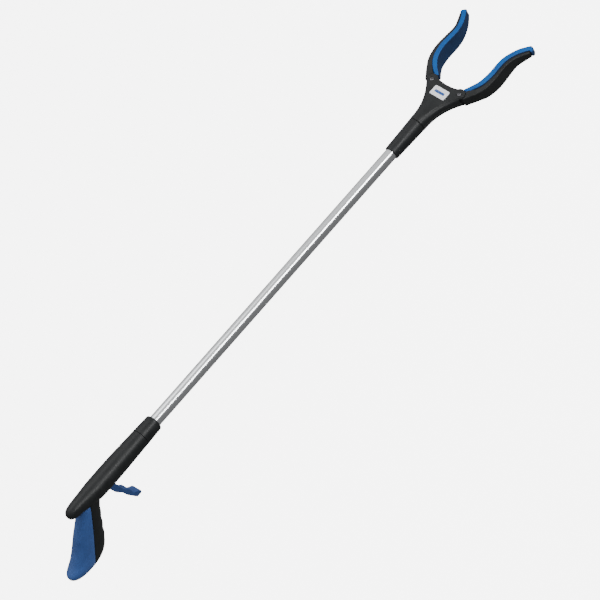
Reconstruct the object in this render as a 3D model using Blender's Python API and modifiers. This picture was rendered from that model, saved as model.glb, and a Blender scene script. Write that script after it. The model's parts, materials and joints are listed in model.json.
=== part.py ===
"""Reacher grabber: pistol-grip handle, aluminium tube and two sprung-open gripping jaws.

The tube runs along X with the jaws at its +X end and the grip hanging down in -Z. The tube
frame used below has its zero on the tube's axis at the handle's nose. Squeezing the trigger
pulls a rod along the tube; a crosshead on the rod's far end turns both jaws about Z pivots.
All dimensions are in millimetres and become metres through MM.
"""
import math

import bmesh
import bpy
from mathutils import Matrix, Vector

MM = 0.001

# Overall placing: the middle of the length and the lowest point, in the tube frame.
MIDDLE_X = 235.2
LOWEST_Z = -90.0
GAP = 0.3                    # clearance between pieces that touch

# Tube.
TUBE_RADIUS = 8.0
TUBE_BORE = 6.8
TUBE_START = -38.0
TUBE_END = 488.0
SOCKET_RADIUS = TUBE_RADIUS + GAP
LOCK_PIN_RADIUS = 1.5
LOCK_PIN_PLACES = {"handle": -33.0, "head": 466.0}
LOCK_PIN_Z = 2.5
GUIDE_PLACES = {"handle": -30.0, "head": 470.0}
GUIDE_LENGTH = 12.0

# Handle housing: a capsule round the tube's axis, and the ring on its nose.
NOSE_LENGTH = 27.0
NOSE_RADIUS = 12.4
# Round sections as (x, radius, height of the centre); the underside rises at the rear.
HOUSING_SECTIONS = [
    (-NOSE_LENGTH - GAP, NOSE_RADIUS, 0.0),
    (-52.0, 13.2, 0.0),
    (-77.0, 13.9, 0.0),
    (-100.0, 13.9, 0.0),
    (-115.0, 13.8, 0.1),
    (-124.0, 12.9, 0.9),
    (-132.0, 11.9, 1.8),
    (-140.0, 10.9, 2.7),
    (-148.0, 10.1, 3.3),
    (-155.0, 9.3, 3.6),
    (-160.0, 8.2, 3.6),
    (-163.5, 6.4, 3.5),
    (-165.6, 4.2, 3.4),
    (-166.4, 1.8, 3.4),
]
HOUSING_BORE_SECTIONS = [
    (-42.0, 11.4, 0.0),
    (-100.0, 11.4, 0.0),
    (-112.0, 10.8, 0.2),
    (-122.0, 9.8, 0.5),
    (-134.0, 8.6, 0.6),
    (-139.6, 8.2, 0.8),
]

# Grip: height, front, back and half width of its level sections.
GRIP_SECTIONS = [
    (3.3, -108.4, -145.6, 8.1),
    (-5.0, -112.0, -149.0, 9.6),
    (-13.4, -116.2, -152.7, 10.75),
    (-22.0, -120.2, -158.0, 11.4),
    (-40.0, -126.0, -169.0, 12.8),
    (-58.0, -131.0, -181.0, 13.5),
    (-72.0, -135.2, -190.5, 14.0),
    (-81.0, -139.8, -200.0, 14.0),
    (-86.5, -146.0, -201.0, 12.8),
    (LOWEST_Z, -154.0, -196.0, 9.5),
]
GRIP_SQUARENESS = 2.3        # exponent of the sections' outline; 2 is an ellipse
PAD_THICKNESS = 3.0
GRIP_WALL = 3.0
GRIP_FLOOR = 7.0
PAD_EDGE_X = -133.7          # the pad's front edge at the tube's height
PAD_LEAN = 0.42              # how far that edge leans back for each unit down
PAD_FOOT_Z = -85.6

# Screws that close the handle, as (x, z), driven from the left.
HANDLE_SCREWS = [(-52.0, 9.0), (-146.0, 5.0), (-153.0, -38.0), (-168.0, -68.0)]
SCREW_RADIUS = 1.5
SCREW_HEAD_RADIUS = 2.8
SCREW_BOSS_RADIUS = 4.2

# Trigger.
PIVOT_X = -100.0
PIVOT_Z = 6.5
TRIGGER_SWING = math.radians(28.0)
TRIGGER_HALF_WIDTH = 7.0
CHEEK_HALF_WIDTH = 4.6
FORK_HALF_GAP = 2.4
BOSS_RADIUS = 3.8
PIN_RADIUS = 1.8
PIN_HALF_LENGTH = 9.5
TRIGGER_SLOT = ((-114.0, -7.5, -22.0), (-84.0, 7.5, -6.0))

# Pull rod and its spring.
ROD_Z = -3.2
ROD_RADIUS = 1.25
ROD_START = -86.0
ROD_END = 552.0
CRANK_DROP = PIVOT_Z - ROD_Z
CRANK_PIN_X = PIVOT_X + CRANK_DROP * math.tan(TRIGGER_SWING / 2)
ROD_TRAVEL = 2 * CRANK_DROP * math.tan(TRIGGER_SWING / 2)
CLEVIS_REAR = -108.0
CLEVIS_SHOULDER = -91.0
CLEVIS_FRONT = -74.0
SPRING_RADIUS = 3.6
SPRING_WIRE = 0.55
SPRING_TURNS = 7
SEAT_X = -134.0
SEAT_THICKNESS = 3.0
SEAT_RADIUS = 7.8
SEAT_Z = 0.6

# Collar and head.
COLLAR_START = 458.3
COLLAR_END = 508.5
COLLAR_RIM = 9.8
NECK_RADIUS = 11.4
SPIGOT_START = 495.0
SPIGOT_BORE = 6.0
HEAD_HALF_HEIGHT = 8.5
HEAD_TAPER = 35.0            # length over which the round neck flattens into the head
PLATE_INNER_Z = 5.9          # inner face of the head's two plates
SIDE_WALL = 2.4
CROTCH_X = 570.0
JAW_X = 567.3
JAW_Y = 23.5
LOBE_RADIUS = 8.1
FLANK_START = 511.0
FLANK_END = 564.7
FLANK_GAIN = 21.2
FACE_START = 515.0
FACE_END = 565.0
FACE_HALF_WIDTH = 6.8
FACE_GAIN = 22.5
FLARE_POWER = 2.15
HEAD_SCREW_X = 536.0
HEAD_SCREW_Y = 8.6
LABEL_X = 556.2
LABEL_SIZE = (13.7, 24.2)
LABEL_THICKNESS = 0.5
LABEL_CORNER = 2.2

# Jaws: inner gripping face (x, y), whole thickness, pad thickness and half width in Z.
JAW_SWING = math.radians(28.5)
JAW_STATIONS = [
    (577.5, 21.5, 17.4, 4.2, 5.2),
    (586.5, 30.5, 15.2, 5.0, 9.5),
    (596.0, 36.3, 14.0, 5.6, 11.6),
    (610.0, 39.0, 12.8, 5.8, 12.8),
    (625.0, 38.8, 12.0, 5.6, 12.8),
    (636.0, 39.0, 11.8, 5.4, 11.8),
    (647.0, 41.4, 11.0, 5.2, 10.2),
    (659.0, 46.8, 10.0, 5.0, 8.2),
    (671.8, 55.9, 8.2, 4.6, 5.2),
]
STEPS_PER_STATION = 3
ARM_STEPS_SHORT = 1          # steps by which the plastic arm ends before the pad
HUB_RADIUS = 6.2
HUB_BORE = 3.5
HUB_HALF_HEIGHT = 5.4
ROOT_BACK = 2.2              # how far the arm starts behind the pad
ROOT_HALF_HEIGHT = 8.2       # the arm stands level with the head beside its lobe
BUSH_RADIUS = 3.2
BUSH_BORE = 1.9
PIVOT_SCREW_RADIUS = 1.6
PIVOT_HEAD_RADIUS = 2.6
LEVER_HALF_WIDTH = 4.2
LEVER_LENGTH = 13.6
LEVER_LOW_Z = -2.2
LEVER_HIGH_Z = 2.6
CROSS_PIN_BACK = 6.0         # crosshead pin behind and inside the jaw's pivot, jaws open
CROSS_PIN_IN = 9.9
CROSS_PIN_RADIUS = 1.5
CROSS_LOW_Z = -5.7
CROSS_HIGH_Z = -2.8
CROSS_BAR_HALF = 16.6


# ---------------------------------------------------------------- scene and materials

for old_object in list(bpy.data.objects):
    bpy.data.objects.remove(old_object, do_unlink=True)


def new_collection(name):
    collection = bpy.data.collections.new(name)
    bpy.context.scene.collection.children.link(collection)
    return collection


PARTS = new_collection("reacher_grabber")
CUTTERS = new_collection("cutters")


def new_material(name, colour, roughness, metallic=0.0):
    material = bpy.data.materials.new(name)
    material.use_nodes = True
    shader = material.node_tree.nodes["Principled BSDF"]
    shader.inputs["Base Color"].default_value = (*colour, 1.0)
    shader.inputs["Roughness"].default_value = roughness
    shader.inputs["Metallic"].default_value = metallic
    material.diffuse_color = (*colour, 1.0)
    return material


BLACK = new_material("black_plastic", (0.028, 0.029, 0.031), 0.45)
INNER = new_material("inner_plastic", (0.10, 0.10, 0.11), 0.5)
SOFT_BLUE = new_material("soft_blue_grip", (0.035, 0.115, 0.36), 0.6)
TRIGGER_BLUE = new_material("trigger_blue", (0.030, 0.095, 0.33), 0.45)
JAW_BLUE = new_material("jaw_rubber", (0.005, 0.12, 0.42), 0.55)
ALUMINIUM = new_material("anodised_tube", (0.62, 0.62, 0.63), 0.32, 1.0)
STEEL = new_material("plated_steel", (0.55, 0.55, 0.56), 0.3, 1.0)
LABEL_WHITE = new_material("label_white", (0.85, 0.86, 0.88), 0.35)


# ---------------------------------------------------------------- building helpers

def new_empty(name, x, y, z, parent=None):
    """An empty at a place in its parent's frame."""
    empty = bpy.data.objects.new(name, None)
    empty.empty_display_size = 10 * MM
    PARTS.objects.link(empty)
    empty.location = Vector((x, y, z)) * MM
    empty.parent = parent
    return empty


FRAME = new_empty("grabber_frame", -MIDDLE_X, 0.0, -LOWEST_Z)
TRIGGER_AXIS = new_empty("trigger_axis", PIVOT_X, 0.0, PIVOT_Z, FRAME)
ROD_AXIS = new_empty("rod_axis", ROD_START, 0.0, ROD_Z, FRAME)
JAW_AXES = {
    1: new_empty("jaw_left_axis", JAW_X, JAW_Y, 0.0, FRAME),
    -1: new_empty("jaw_right_axis", JAW_X, -JAW_Y, 0.0, FRAME),
}


def adopt(item, parent):
    """Hang an object, placed in the tube frame, under an empty of that frame."""
    item.parent = parent
    if parent is not FRAME:
        item.matrix_parent_inverse = Matrix.Translation(-parent.location)


def add_part(item, name, material, parent=FRAME):
    item.name = name
    item.data.name = name
    item.data.materials.clear()
    item.data.materials.append(material)
    PARTS.objects.link(item)
    adopt(item, parent)
    item.data.shade_smooth()
    item.data.set_sharp_from_angle(angle=math.radians(35))
    return item


def add_cutter(item, name):
    item.name = name
    item.hide_render = True
    item.display_type = "WIRE"
    CUTTERS.objects.link(item)
    adopt(item, FRAME)
    return item


def cut(item, cutter, operation="DIFFERENCE"):
    modifier = item.modifiers.new(cutter.name, "BOOLEAN")
    modifier.operation = operation
    modifier.object = cutter
    modifier.solver = "EXACT"


def object_from(bm, name):
    bmesh.ops.recalc_face_normals(bm, faces=bm.faces)
    mesh = bpy.data.meshes.new(name)
    bm.to_mesh(mesh)
    bm.free()
    return bpy.data.objects.new(name, mesh)


def turned(profile, y=0.0, z=0.0, steps=32):
    """Turn a profile of (x, radius) about the line along X through y and z.

    The profile runs from the +X end down the outer side; a closed one comes back inside.
    """
    points = [(radius * MM, 0.0, x * MM) for x, radius in profile]
    edges = [(i, i + 1) for i in range(len(points) - 1)]
    if profile[0][1] > 0:
        edges.append((len(points) - 1, 0))
    mesh = bpy.data.meshes.new("turned")
    mesh.from_pydata(points, edges, [])
    item = bpy.data.objects.new("turned", mesh)
    item.rotation_euler = (0.0, math.pi / 2, 0.0)
    item.location = (0.0, y * MM, z * MM)
    screw = item.modifiers.new("turn", "SCREW")
    screw.steps = steps
    screw.render_steps = steps
    screw.use_merge_vertices = True
    screw.merge_threshold = 0.00001
    return item


def cylinder(start, end, radius, segments=20):
    """A plain cylinder between two points of the tube frame."""
    start = Vector(start) * MM
    end = Vector(end) * MM
    along = end - start
    bm = bmesh.new()
    bmesh.ops.create_cone(
        bm, cap_ends=True, segments=segments,
        radius1=radius * MM, radius2=radius * MM, depth=along.length)
    item = object_from(bm, "cylinder")
    item.location = (start + end) / 2
    item.rotation_euler = along.to_track_quat("Z", "Y").to_euler()
    return item


def box(low, high):
    low = Vector(low) * MM
    high = Vector(high) * MM
    bm = bmesh.new()
    bmesh.ops.create_cube(bm, size=1.0)
    bmesh.ops.scale(bm, verts=bm.verts, vec=high - low)
    item = object_from(bm, "box")
    item.location = (low + high) / 2
    return item


def mesh_of_curve(curve, name):
    """Replace a curve object by its welded mesh."""
    bpy.context.scene.collection.objects.link(curve)
    bpy.context.view_layer.update()
    evaluated = curve.evaluated_get(bpy.context.evaluated_depsgraph_get())
    mesh = bpy.data.meshes.new_from_object(evaluated)
    bm = bmesh.new()
    bm.from_mesh(mesh)
    bmesh.ops.remove_doubles(bm, verts=bm.verts, dist=0.000001)
    bmesh.ops.recalc_face_normals(bm, faces=bm.faces)
    bm.to_mesh(mesh)
    bm.free()
    item = bpy.data.objects.new(name, mesh)
    item.matrix_world = curve.matrix_world
    bpy.data.objects.remove(curve, do_unlink=True)
    return item


def plate(outline, low, high, upright=False):
    """Extrude a flat outline: (x, y) between two heights, or, upright, (x, z) between two y."""
    data = bpy.data.curves.new("outline", "CURVE")
    data.dimensions = "2D"
    data.fill_mode = "BOTH"
    data.extrude = (high - low) / 2 * MM
    data.render_resolution_u = 0
    spline = data.splines.new("POLY")
    spline.points.add(len(outline) - 1)
    for point, (x, y) in zip(spline.points, outline):
        point.co = (x * MM, y * MM, 0.0, 1.0)
    spline.use_cyclic_u = True
    curve = bpy.data.objects.new("outline", data)
    middle = (low + high) / 2 * MM
    if upright:
        curve.location = (0.0, middle, 0.0)
        curve.rotation_euler = (math.pi / 2, 0.0, 0.0)
    else:
        curve.location = (0.0, 0.0, middle)
    return mesh_of_curve(curve, "plate")


def loft(rings):
    """Join rings of points, all of one count, into a closed body with flat ends."""
    bm = bmesh.new()
    rows = [[bm.verts.new(Vector(point) * MM) for point in ring] for ring in rings]
    count = len(rows[0])
    for row, following in zip(rows, rows[1:]):
        for i in range(count):
            j = (i + 1) % count
            bm.faces.new((row[i], row[j], following[j], following[i]))
    bm.faces.new(rows[0])
    bm.faces.new(rows[-1])
    return object_from(bm, "loft")


def arc(centre, radius, start, end, steps):
    """Points on an arc, angles in degrees, both ends included."""
    points = []
    for i in range(steps + 1):
        angle = math.radians(start + (end - start) * i / steps)
        points.append((centre[0] + radius * math.cos(angle), centre[1] + radius * math.sin(angle)))
    return points


def capsule(start, end, radius, steps=6):
    """Outline of a strip with round ends between two points."""
    heading = math.degrees(math.atan2(end[1] - start[1], end[0] - start[0]))
    return (arc(start, radius, heading + 90, heading + 270, steps)
            + arc(end, radius, heading - 90, heading + 90, steps))


def smooth(rows, steps):
    """Catmull-Rom rows through the given rows, steps to each interval."""
    result = []
    last = len(rows) - 1
    for i in range(last):
        before = rows[max(i - 1, 0)]
        after = rows[min(i + 2, last)]
        for k in range(steps):
            t = k / steps
            row = []
            for p0, p1, p2, p3 in zip(before, rows[i], rows[i + 1], after):
                bend = 2 * p0 - 5 * p1 + 4 * p2 - p3
                twist = 3 * p1 - p0 - 3 * p2 + p3
                row.append(p1 + (p2 - p0) * t / 2 + bend * t * t / 2 + twist * t ** 3 / 2)
            result.append(tuple(row))
    result.append(tuple(rows[last]))
    return result


# ---------------------------------------------------------------- handle

def round_rings(sections, grow=0.0):
    """Circles across X for a loft, each with its own radius and height of centre."""
    rings = []
    for x, radius, middle in sections:
        circle = arc((0.0, middle), radius + grow, 0.0, 348.75, 31)
        rings.append([(x, y, z) for y, z in circle])
    return rings


def housing(grow=0.0):
    """The handle's cigar shape, from behind the nose ring to its closed rear."""
    return loft(round_rings(HOUSING_SECTIONS, grow))


def grip_form(inset=0.0, floor=0.0):
    """The grip, smaller all round by the inset and stopped above its foot by the floor."""
    rings = []
    corners = 28
    for z, front, back, half_width in smooth(GRIP_SECTIONS, 2):
        if z < LOWEST_Z + floor:
            continue
        middle = (front + back) / 2
        depth = (front - back) / 2 - inset
        width = half_width - inset
        ring = []
        for i in range(corners):
            angle = 2 * math.pi * i / corners
            c = math.cos(angle)
            s = math.sin(angle)
            x = middle + depth * math.copysign(abs(c) ** (2 / GRIP_SQUARENESS), c)
            y = width * math.copysign(abs(s) ** (2 / GRIP_SQUARENESS), s)
            ring.append((x, y, z))
        rings.append(ring)
    return loft(rings)


def pad_region(margin):
    """Prism that holds the soft pad: everything behind a leaning line, down to the foot."""
    def edge(z):
        return PAD_EDGE_X + PAD_LEAN * z - margin
    top = 6.0
    foot = PAD_FOOT_Z + margin
    rear = -215.0
    outline = [(edge(top), top), (edge(foot), foot), (rear, foot), (rear, top)]
    return plate(outline, -30.0, 30.0, upright=True)


def handle_cavity():
    """Everything that is hollow or open in the two shells."""
    cavity = add_cutter(loft(round_rings(HOUSING_BORE_SECTIONS)), "housing_bore")
    hollow = add_cutter(grip_form(PAD_THICKNESS + GRIP_WALL, GRIP_FLOOR), "grip_hollow")
    cut(cavity, hollow, "UNION")
    for index, (x, z) in enumerate(HANDLE_SCREWS):
        boss = cylinder((x, -20.0, z), (x, 20.0, z), SCREW_BOSS_RADIUS, 16)
        cut(cavity, add_cutter(boss, f"screw_boss_{index + 1}"))
    return cavity


def handle_openings():
    """Cutters for the tube, the trigger, the pins and the screws."""
    openings = [
        turned([(5.0, 0.0), (5.0, SOCKET_RADIUS), (-44.0, SOCKET_RADIUS), (-44.0, 0.0)]),
        box(*TRIGGER_SLOT),
        cylinder((PIVOT_X, -PIN_HALF_LENGTH - GAP, PIVOT_Z),
                 (PIVOT_X, PIN_HALF_LENGTH + GAP, PIVOT_Z), PIN_RADIUS + GAP),
        lock_pin("handle", GAP),
    ]
    for x, z in HANDLE_SCREWS:
        openings.append(cylinder((x, -8.0, z), (x, 20.0, z), SCREW_RADIUS + GAP, 14))
        openings.append(cylinder((x, 6.0, z), (x, 20.0, z), SCREW_HEAD_RADIUS + GAP, 16))
    return [add_cutter(item, f"handle_opening_{i + 1}") for i, item in enumerate(openings)]


def build_handle_shells():
    grip = add_cutter(grip_form(), "grip_outside")
    pad_space = add_cutter(pad_region(0.0), "pad_space")
    core = add_cutter(grip_form(PAD_THICKNESS + GAP), "grip_core")
    body = add_cutter(housing(), "housing_outside")
    cut(pad_space, core)
    cut(pad_space, body)
    cavity = handle_cavity()
    openings = handle_openings()
    sides = {"left": box((-230.0, GAP / 2, -100.0), (10.0, 40.0, 40.0)),
             "right": box((-230.0, -40.0, -100.0), (10.0, -GAP / 2, 40.0))}
    for side, half_space in sides.items():
        shell = add_part(housing(), f"handle_shell_{side}", BLACK)
        cut(shell, grip, "UNION")
        cut(shell, pad_space)
        cut(shell, cavity)
        for opening in openings:
            cut(shell, opening)
        cut(shell, add_cutter(half_space, f"{side}_half_space"), "INTERSECT")


def build_grip_pad():
    pad = add_part(grip_form(), "grip_pad", SOFT_BLUE)
    cut(pad, add_cutter(pad_region(GAP), "pad_limits"), "INTERSECT")
    cut(pad, add_cutter(grip_form(PAD_THICKNESS), "pad_inside"))
    cut(pad, add_cutter(housing(GAP), "housing_clearance"))


def build_nose_ring():
    ring = add_part(turned([
        (-0.6, 10.6), (-1.8, 11.5), (-15.4, 12.0), (-NOSE_LENGTH, NOSE_RADIUS),
        (-NOSE_LENGTH, SOCKET_RADIUS), (0.0, SOCKET_RADIUS), (0.0, 9.8)]), "nose_ring", BLACK)
    return ring


def build_handle_screws():
    for index, (x, z) in enumerate(HANDLE_SCREWS):
        screw = cylinder((x, -7.5, z), (x, 7.0, z), SCREW_RADIUS, 12)
        head = add_cutter(cylinder((x, 6.4, z), (x, 8.2, z), SCREW_HEAD_RADIUS, 16),
                          f"handle_screw_head_{index + 1}")
        screw = add_part(screw, f"handle_screw_{index + 1}", STEEL)
        cut(screw, head, "UNION")


# ---------------------------------------------------------------- trigger, rod and spring

def trigger_outline():
    """Side view (x, z): pivot boss, crank and finger blade with its two hollows in front."""
    boss = arc((PIVOT_X, PIVOT_Z), BOSS_RADIUS, 0.0, 180.0, 8)
    rear = smooth([(-103.6, 0.0), (-103.0, -9.0), (-99.6, -16.0), (-96.3, -26.0),
                   (-92.2, -32.8), (-87.8, -39.2), (-83.6, -49.4), (-79.6, -56.4),
                   (-74.4, -65.0)], 2)
    tip = [(-71.8, -69.0), (-68.4, -70.6), (-65.2, -69.4)]
    front = smooth([(-63.6, -65.8), (-65.6, -61.8), (-69.8, -58.8), (-73.8, -55.0),
                    (-75.6, -49.0), (-77.6, -43.8), (-81.4, -39.2), (-84.5, -33.0),
                    (-87.2, -24.0), (-89.6, -16.0), (-92.0, -6.0), (-95.0, 1.0)], 2)
    return boss + rear + tip + front


def build_trigger():
    trigger = add_part(plate(trigger_outline(), -TRIGGER_HALF_WIDTH, TRIGGER_HALF_WIDTH, True),
                       "trigger", TRIGGER_BLUE, TRIGGER_AXIS)
    outside = TRIGGER_HALF_WIDTH + 1
    for side, (near, far) in {"left": (CHEEK_HALF_WIDTH, outside),
                              "right": (-outside, -CHEEK_HALF_WIDTH)}.items():
        relief = box((-116.0, near, -11.0), (-80.0, far, 14.0))
        cut(trigger, add_cutter(relief, f"trigger_relief_{side}"))
    fork = box((-116.0, -FORK_HALF_GAP, -13.2), (-80.0, FORK_HALF_GAP, 2.8))
    cut(trigger, add_cutter(fork, "trigger_fork"))
    for name, x, z in (("pivot", PIVOT_X, PIVOT_Z), ("crank", CRANK_PIN_X, ROD_Z)):
        hole = cylinder((x, -12.0, z), (x, 12.0, z), PIN_RADIUS + GAP)
        cut(trigger, add_cutter(hole, f"trigger_{name}_hole"))
    add_part(cylinder((PIVOT_X, -PIN_HALF_LENGTH, PIVOT_Z),
                      (PIVOT_X, PIN_HALF_LENGTH, PIVOT_Z), PIN_RADIUS), "trigger_pin", STEEL)
    add_part(cylinder((CRANK_PIN_X, -CHEEK_HALF_WIDTH, ROD_Z),
                      (CRANK_PIN_X, CHEEK_HALF_WIDTH, ROD_Z), PIN_RADIUS),
             "crank_pin", STEEL, TRIGGER_AXIS)


def build_clevis():
    """Tongue with an upright slot for the crank pin, and a round shank on the rod."""
    half = FORK_HALF_GAP - GAP
    tongue = plate([(CLEVIS_REAR, -7.6), (CLEVIS_SHOULDER + 2, -7.6),
                    (CLEVIS_SHOULDER + 2, 0.4), (CLEVIS_REAR, 0.4)], -half, half, True)
    clevis = add_part(tongue, "rod_clevis", INNER, ROD_AXIS)
    shank = turned([(CLEVIS_FRONT, 0.0), (CLEVIS_FRONT, 3.4), (CLEVIS_SHOULDER, 3.4),
                    (CLEVIS_SHOULDER, 0.0)], z=ROD_Z, steps=20)
    cut(clevis, add_cutter(shank, "clevis_shank"), "UNION")
    slot = plate(capsule((CRANK_PIN_X, ROD_Z - 0.4), (CRANK_PIN_X, ROD_Z + 0.9),
                         PIN_RADIUS + GAP), -9.0, 9.0, True)
    cut(clevis, add_cutter(slot, "clevis_slot"))
    bore = cylinder((ROD_START - GAP, 0.0, ROD_Z), (CLEVIS_FRONT + 5, 0.0, ROD_Z),
                    ROD_RADIUS + GAP, 14)
    cut(clevis, add_cutter(bore, "clevis_bore"))


def build_rod():
    add_part(cylinder((ROD_START, 0.0, ROD_Z), (ROD_END, 0.0, ROD_Z), ROD_RADIUS, 14),
             "pull_rod", STEEL, ROD_AXIS)


def build_spring():
    """Compression spring that pushes the clevis, and so the rod, towards the jaws."""
    data = bpy.data.curves.new("spring", "CURVE")
    data.dimensions = "3D"
    data.bevel_depth = SPRING_WIRE * MM
    data.bevel_resolution = 2
    data.use_fill_caps = True
    data.render_resolution_u = 0
    first = SEAT_X + SPRING_WIRE + GAP
    last = CLEVIS_REAR - SPRING_WIRE - GAP
    steps = SPRING_TURNS * 12
    spline = data.splines.new("POLY")
    spline.points.add(steps)
    for i, point in enumerate(spline.points):
        angle = 2 * math.pi * SPRING_TURNS * i / steps
        point.co = ((first + (last - first) * i / steps) * MM,
                    SPRING_RADIUS * math.cos(angle) * MM,
                    (ROD_Z + SPRING_RADIUS * math.sin(angle)) * MM, 1.0)
    spring = mesh_of_curve(bpy.data.objects.new("spring", data), "spring")
    add_part(spring, "return_spring", STEEL, ROD_AXIS)
    seat = turned([(SEAT_X, 0.0), (SEAT_X, SEAT_RADIUS), (SEAT_X - SEAT_THICKNESS, SEAT_RADIUS),
                   (SEAT_X - SEAT_THICKNESS, 0.0)], z=SEAT_Z)
    add_part(seat, "spring_seat", INNER)


# ---------------------------------------------------------------- tube

def lock_pin(end, grow=0.0):
    """Cross pin that holds the tube in the handle or in the collar."""
    x = LOCK_PIN_PLACES[end]
    reach = 9.4 + grow
    return cylinder((x, -reach, LOCK_PIN_Z), (x, reach, LOCK_PIN_Z), LOCK_PIN_RADIUS + grow, 14)


def build_tube():
    tube = add_part(turned([(TUBE_END, TUBE_RADIUS), (TUBE_START, TUBE_RADIUS),
                            (TUBE_START, TUBE_BORE), (TUBE_END, TUBE_BORE)], steps=40),
                    "shaft_tube", ALUMINIUM)
    for end, x in GUIDE_PLACES.items():
        hole = add_cutter(lock_pin(end, GAP), f"lock_pin_space_{end}")
        cut(tube, hole)
        add_part(lock_pin(end), f"lock_pin_{end}", STEEL)
        low = x - GUIDE_LENGTH / 2
        high = x + GUIDE_LENGTH / 2
        radius = TUBE_BORE - GAP
        guide = add_part(turned([(high, 0.0), (high, radius), (low, radius), (low, 0.0)],
                                steps=24), f"rod_guide_{end}", INNER)
        bore = cylinder((low - 1, 0.0, ROD_Z), (high + 1, 0.0, ROD_Z), ROD_RADIUS + GAP, 14)
        cut(guide, add_cutter(bore, f"rod_guide_bore_{end}"))
        cut(guide, hole)


def build_collar():
    collar = add_part(turned([
        (COLLAR_END, NECK_RADIUS), (COLLAR_START + 1.0, COLLAR_RIM), (COLLAR_START, 9.1),
        (COLLAR_START, SOCKET_RADIUS), (COLLAR_END, SOCKET_RADIUS)]), "neck_collar", BLACK)
    cut(collar, add_cutter(lock_pin("head", GAP), "collar_pin_space"))


# ---------------------------------------------------------------- head

def flare(x, start, end, base, gain):
    """Half width that starts level at the neck and sweeps out towards the jaws."""
    t = min(max((x - start) / (end - start), 0.0), 1.2)
    return base + gain * t ** FLARE_POWER


def flank(x):
    return flare(x, FLANK_START, FLANK_END, NECK_RADIUS, FLANK_GAIN)


def head_ring(x):
    """Section across the head: arched face, sloping edge and bulging flank."""
    face = flare(x, FACE_START, FACE_END, FACE_HALF_WIDTH, FACE_GAIN)
    side = flank(x)
    flat = min(max((x - COLLAR_END) / HEAD_TAPER, 0.0), 1.0)
    top = NECK_RADIUS + (HEAD_HALF_HEIGHT - NECK_RADIUS) * flat
    edge = 9.15 + (HEAD_HALF_HEIGHT - 9.15) * flat
    quarter = [(side, 0.0), (side - 0.35, 3.2), (side - 0.3 * (side - face), 6.0),
               (face, edge), (face * 0.55, edge + 0.75 * (top - edge)), (0.0, top)]
    upper = quarter + [(-y, z) for y, z in reversed(quarter[:-1])]
    lower = [(y, -z) for y, z in reversed(upper[1:-1])]
    return [(x, y, z) for y, z in upper + lower]


def spigot_ring(x):
    """Round section with the head ring's count of points, to plug into the collar."""
    points = arc((0.0, 0.0), TUBE_RADIUS, 0.0, 342.0, 19)
    return [(x, y, z) for y, z in points]


def head_plan():
    """Half plan of the head up to its middle line: flank, lobe round the pivot and crotch."""
    points = [(SPIGOT_START - 5, 0.0), (SPIGOT_START - 5, NECK_RADIUS)]
    steps = 9
    for i in range(steps + 1):
        x = FLANK_START + (FLANK_END - 1.5 - FLANK_START) * i / steps
        points.append((x, flank(x)))
    points += arc((JAW_X, JAW_Y), LOBE_RADIUS, 104.0, -50.0, 10)
    points += [(CROTCH_X + 0.9, 9.0), (CROTCH_X, 0.0)]
    return points


def mirrored(half):
    """Close a half outline, which starts and ends on the middle line, with its mirror."""
    return half + [(x, -y) for x, y in reversed(half[1:-1])]


def head_cavity():
    """Hollow between the head's plates, open where the two jaws come out."""
    half = [(FACE_START, 0.0), (FACE_START, 5.4), (530.0, 8.2), (538.0, 12.0)]
    half += [(x, flank(x) - SIDE_WALL) for x in (546.0, 554.0, 560.0)]
    half += [(563.2, 34.0), (566.0, 48.0), (592.0, 48.0), (592.0, 9.0),
             (CROTCH_X - SIDE_WALL, 8.6), (CROTCH_X - SIDE_WALL, 0.0)]
    cavity = add_cutter(plate(mirrored(half), -PLATE_INNER_Z, PLATE_INNER_Z), "head_cavity")
    for side in (1, -1):
        y = HEAD_SCREW_Y * side
        boss = cylinder((HEAD_SCREW_X, y, -9.0), (HEAD_SCREW_X, y, 9.0), 2.9, 16)
        cut(cavity, add_cutter(boss, f"head_boss_{side}"))
    return cavity


def build_head_shells():
    places = [COLLAR_END + GAP, 513.0, 519.0, 527.0, 534.0, 540.0, 546.0, 552.0, 558.0,
              564.0, 570.0, 577.0]
    rings = [spigot_ring(SPIGOT_START), spigot_ring(COLLAR_END + GAP)]
    rings += [head_ring(x) for x in places]
    solid_rings = add_cutter(loft(rings), "head_outside")
    cavity = head_cavity()
    bore = add_cutter(cylinder((SPIGOT_START - 4, 0.0, 0.0), (FACE_START + 1, 0.0, 0.0),
                               SPIGOT_BORE, 24), "head_bore")
    halves = {"upper": box((480.0, -50.0, GAP / 2), (600.0, 50.0, 20.0)),
              "lower": box((480.0, -50.0, -20.0), (600.0, 50.0, -GAP / 2))}
    for name, half_space in halves.items():
        shell = add_part(plate(mirrored(head_plan()), -14.0, 14.0), f"head_shell_{name}", BLACK)
        cut(shell, solid_rings, "INTERSECT")
        cut(shell, cavity)
        cut(shell, bore)
        cut(shell, add_cutter(half_space, f"{name}_half_space"), "INTERSECT")
        for side in (1, -1):
            label = "left" if side > 0 else "right"
            for index, opening in enumerate(head_openings(side, name)):
                cut(shell, add_cutter(opening, f"{name}_{label}_opening_{index + 1}"))


def head_openings(side, shell):
    """Holes for a pivot screw and a head screw in one shell, on one side."""
    y = JAW_Y * side
    hole = cylinder((JAW_X, y, -12.0), (JAW_X, y, 12.0), PIVOT_SCREW_RADIUS + GAP, 16)
    screw_y = HEAD_SCREW_Y * side
    small = cylinder((HEAD_SCREW_X, screw_y, -12.0), (HEAD_SCREW_X, screw_y, 6.5), 1.3, 12)
    if shell == "upper":
        seat = cylinder((JAW_X, y, HEAD_HALF_HEIGHT - 1.0), (JAW_X, y, 12.0),
                        PIVOT_HEAD_RADIUS + GAP, 20)
    else:
        seat = cylinder((HEAD_SCREW_X, screw_y, -12.0),
                        (HEAD_SCREW_X, screw_y, -HEAD_HALF_HEIGHT + 1.6), 2.2, 16)
    return [hole, small, seat]


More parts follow.
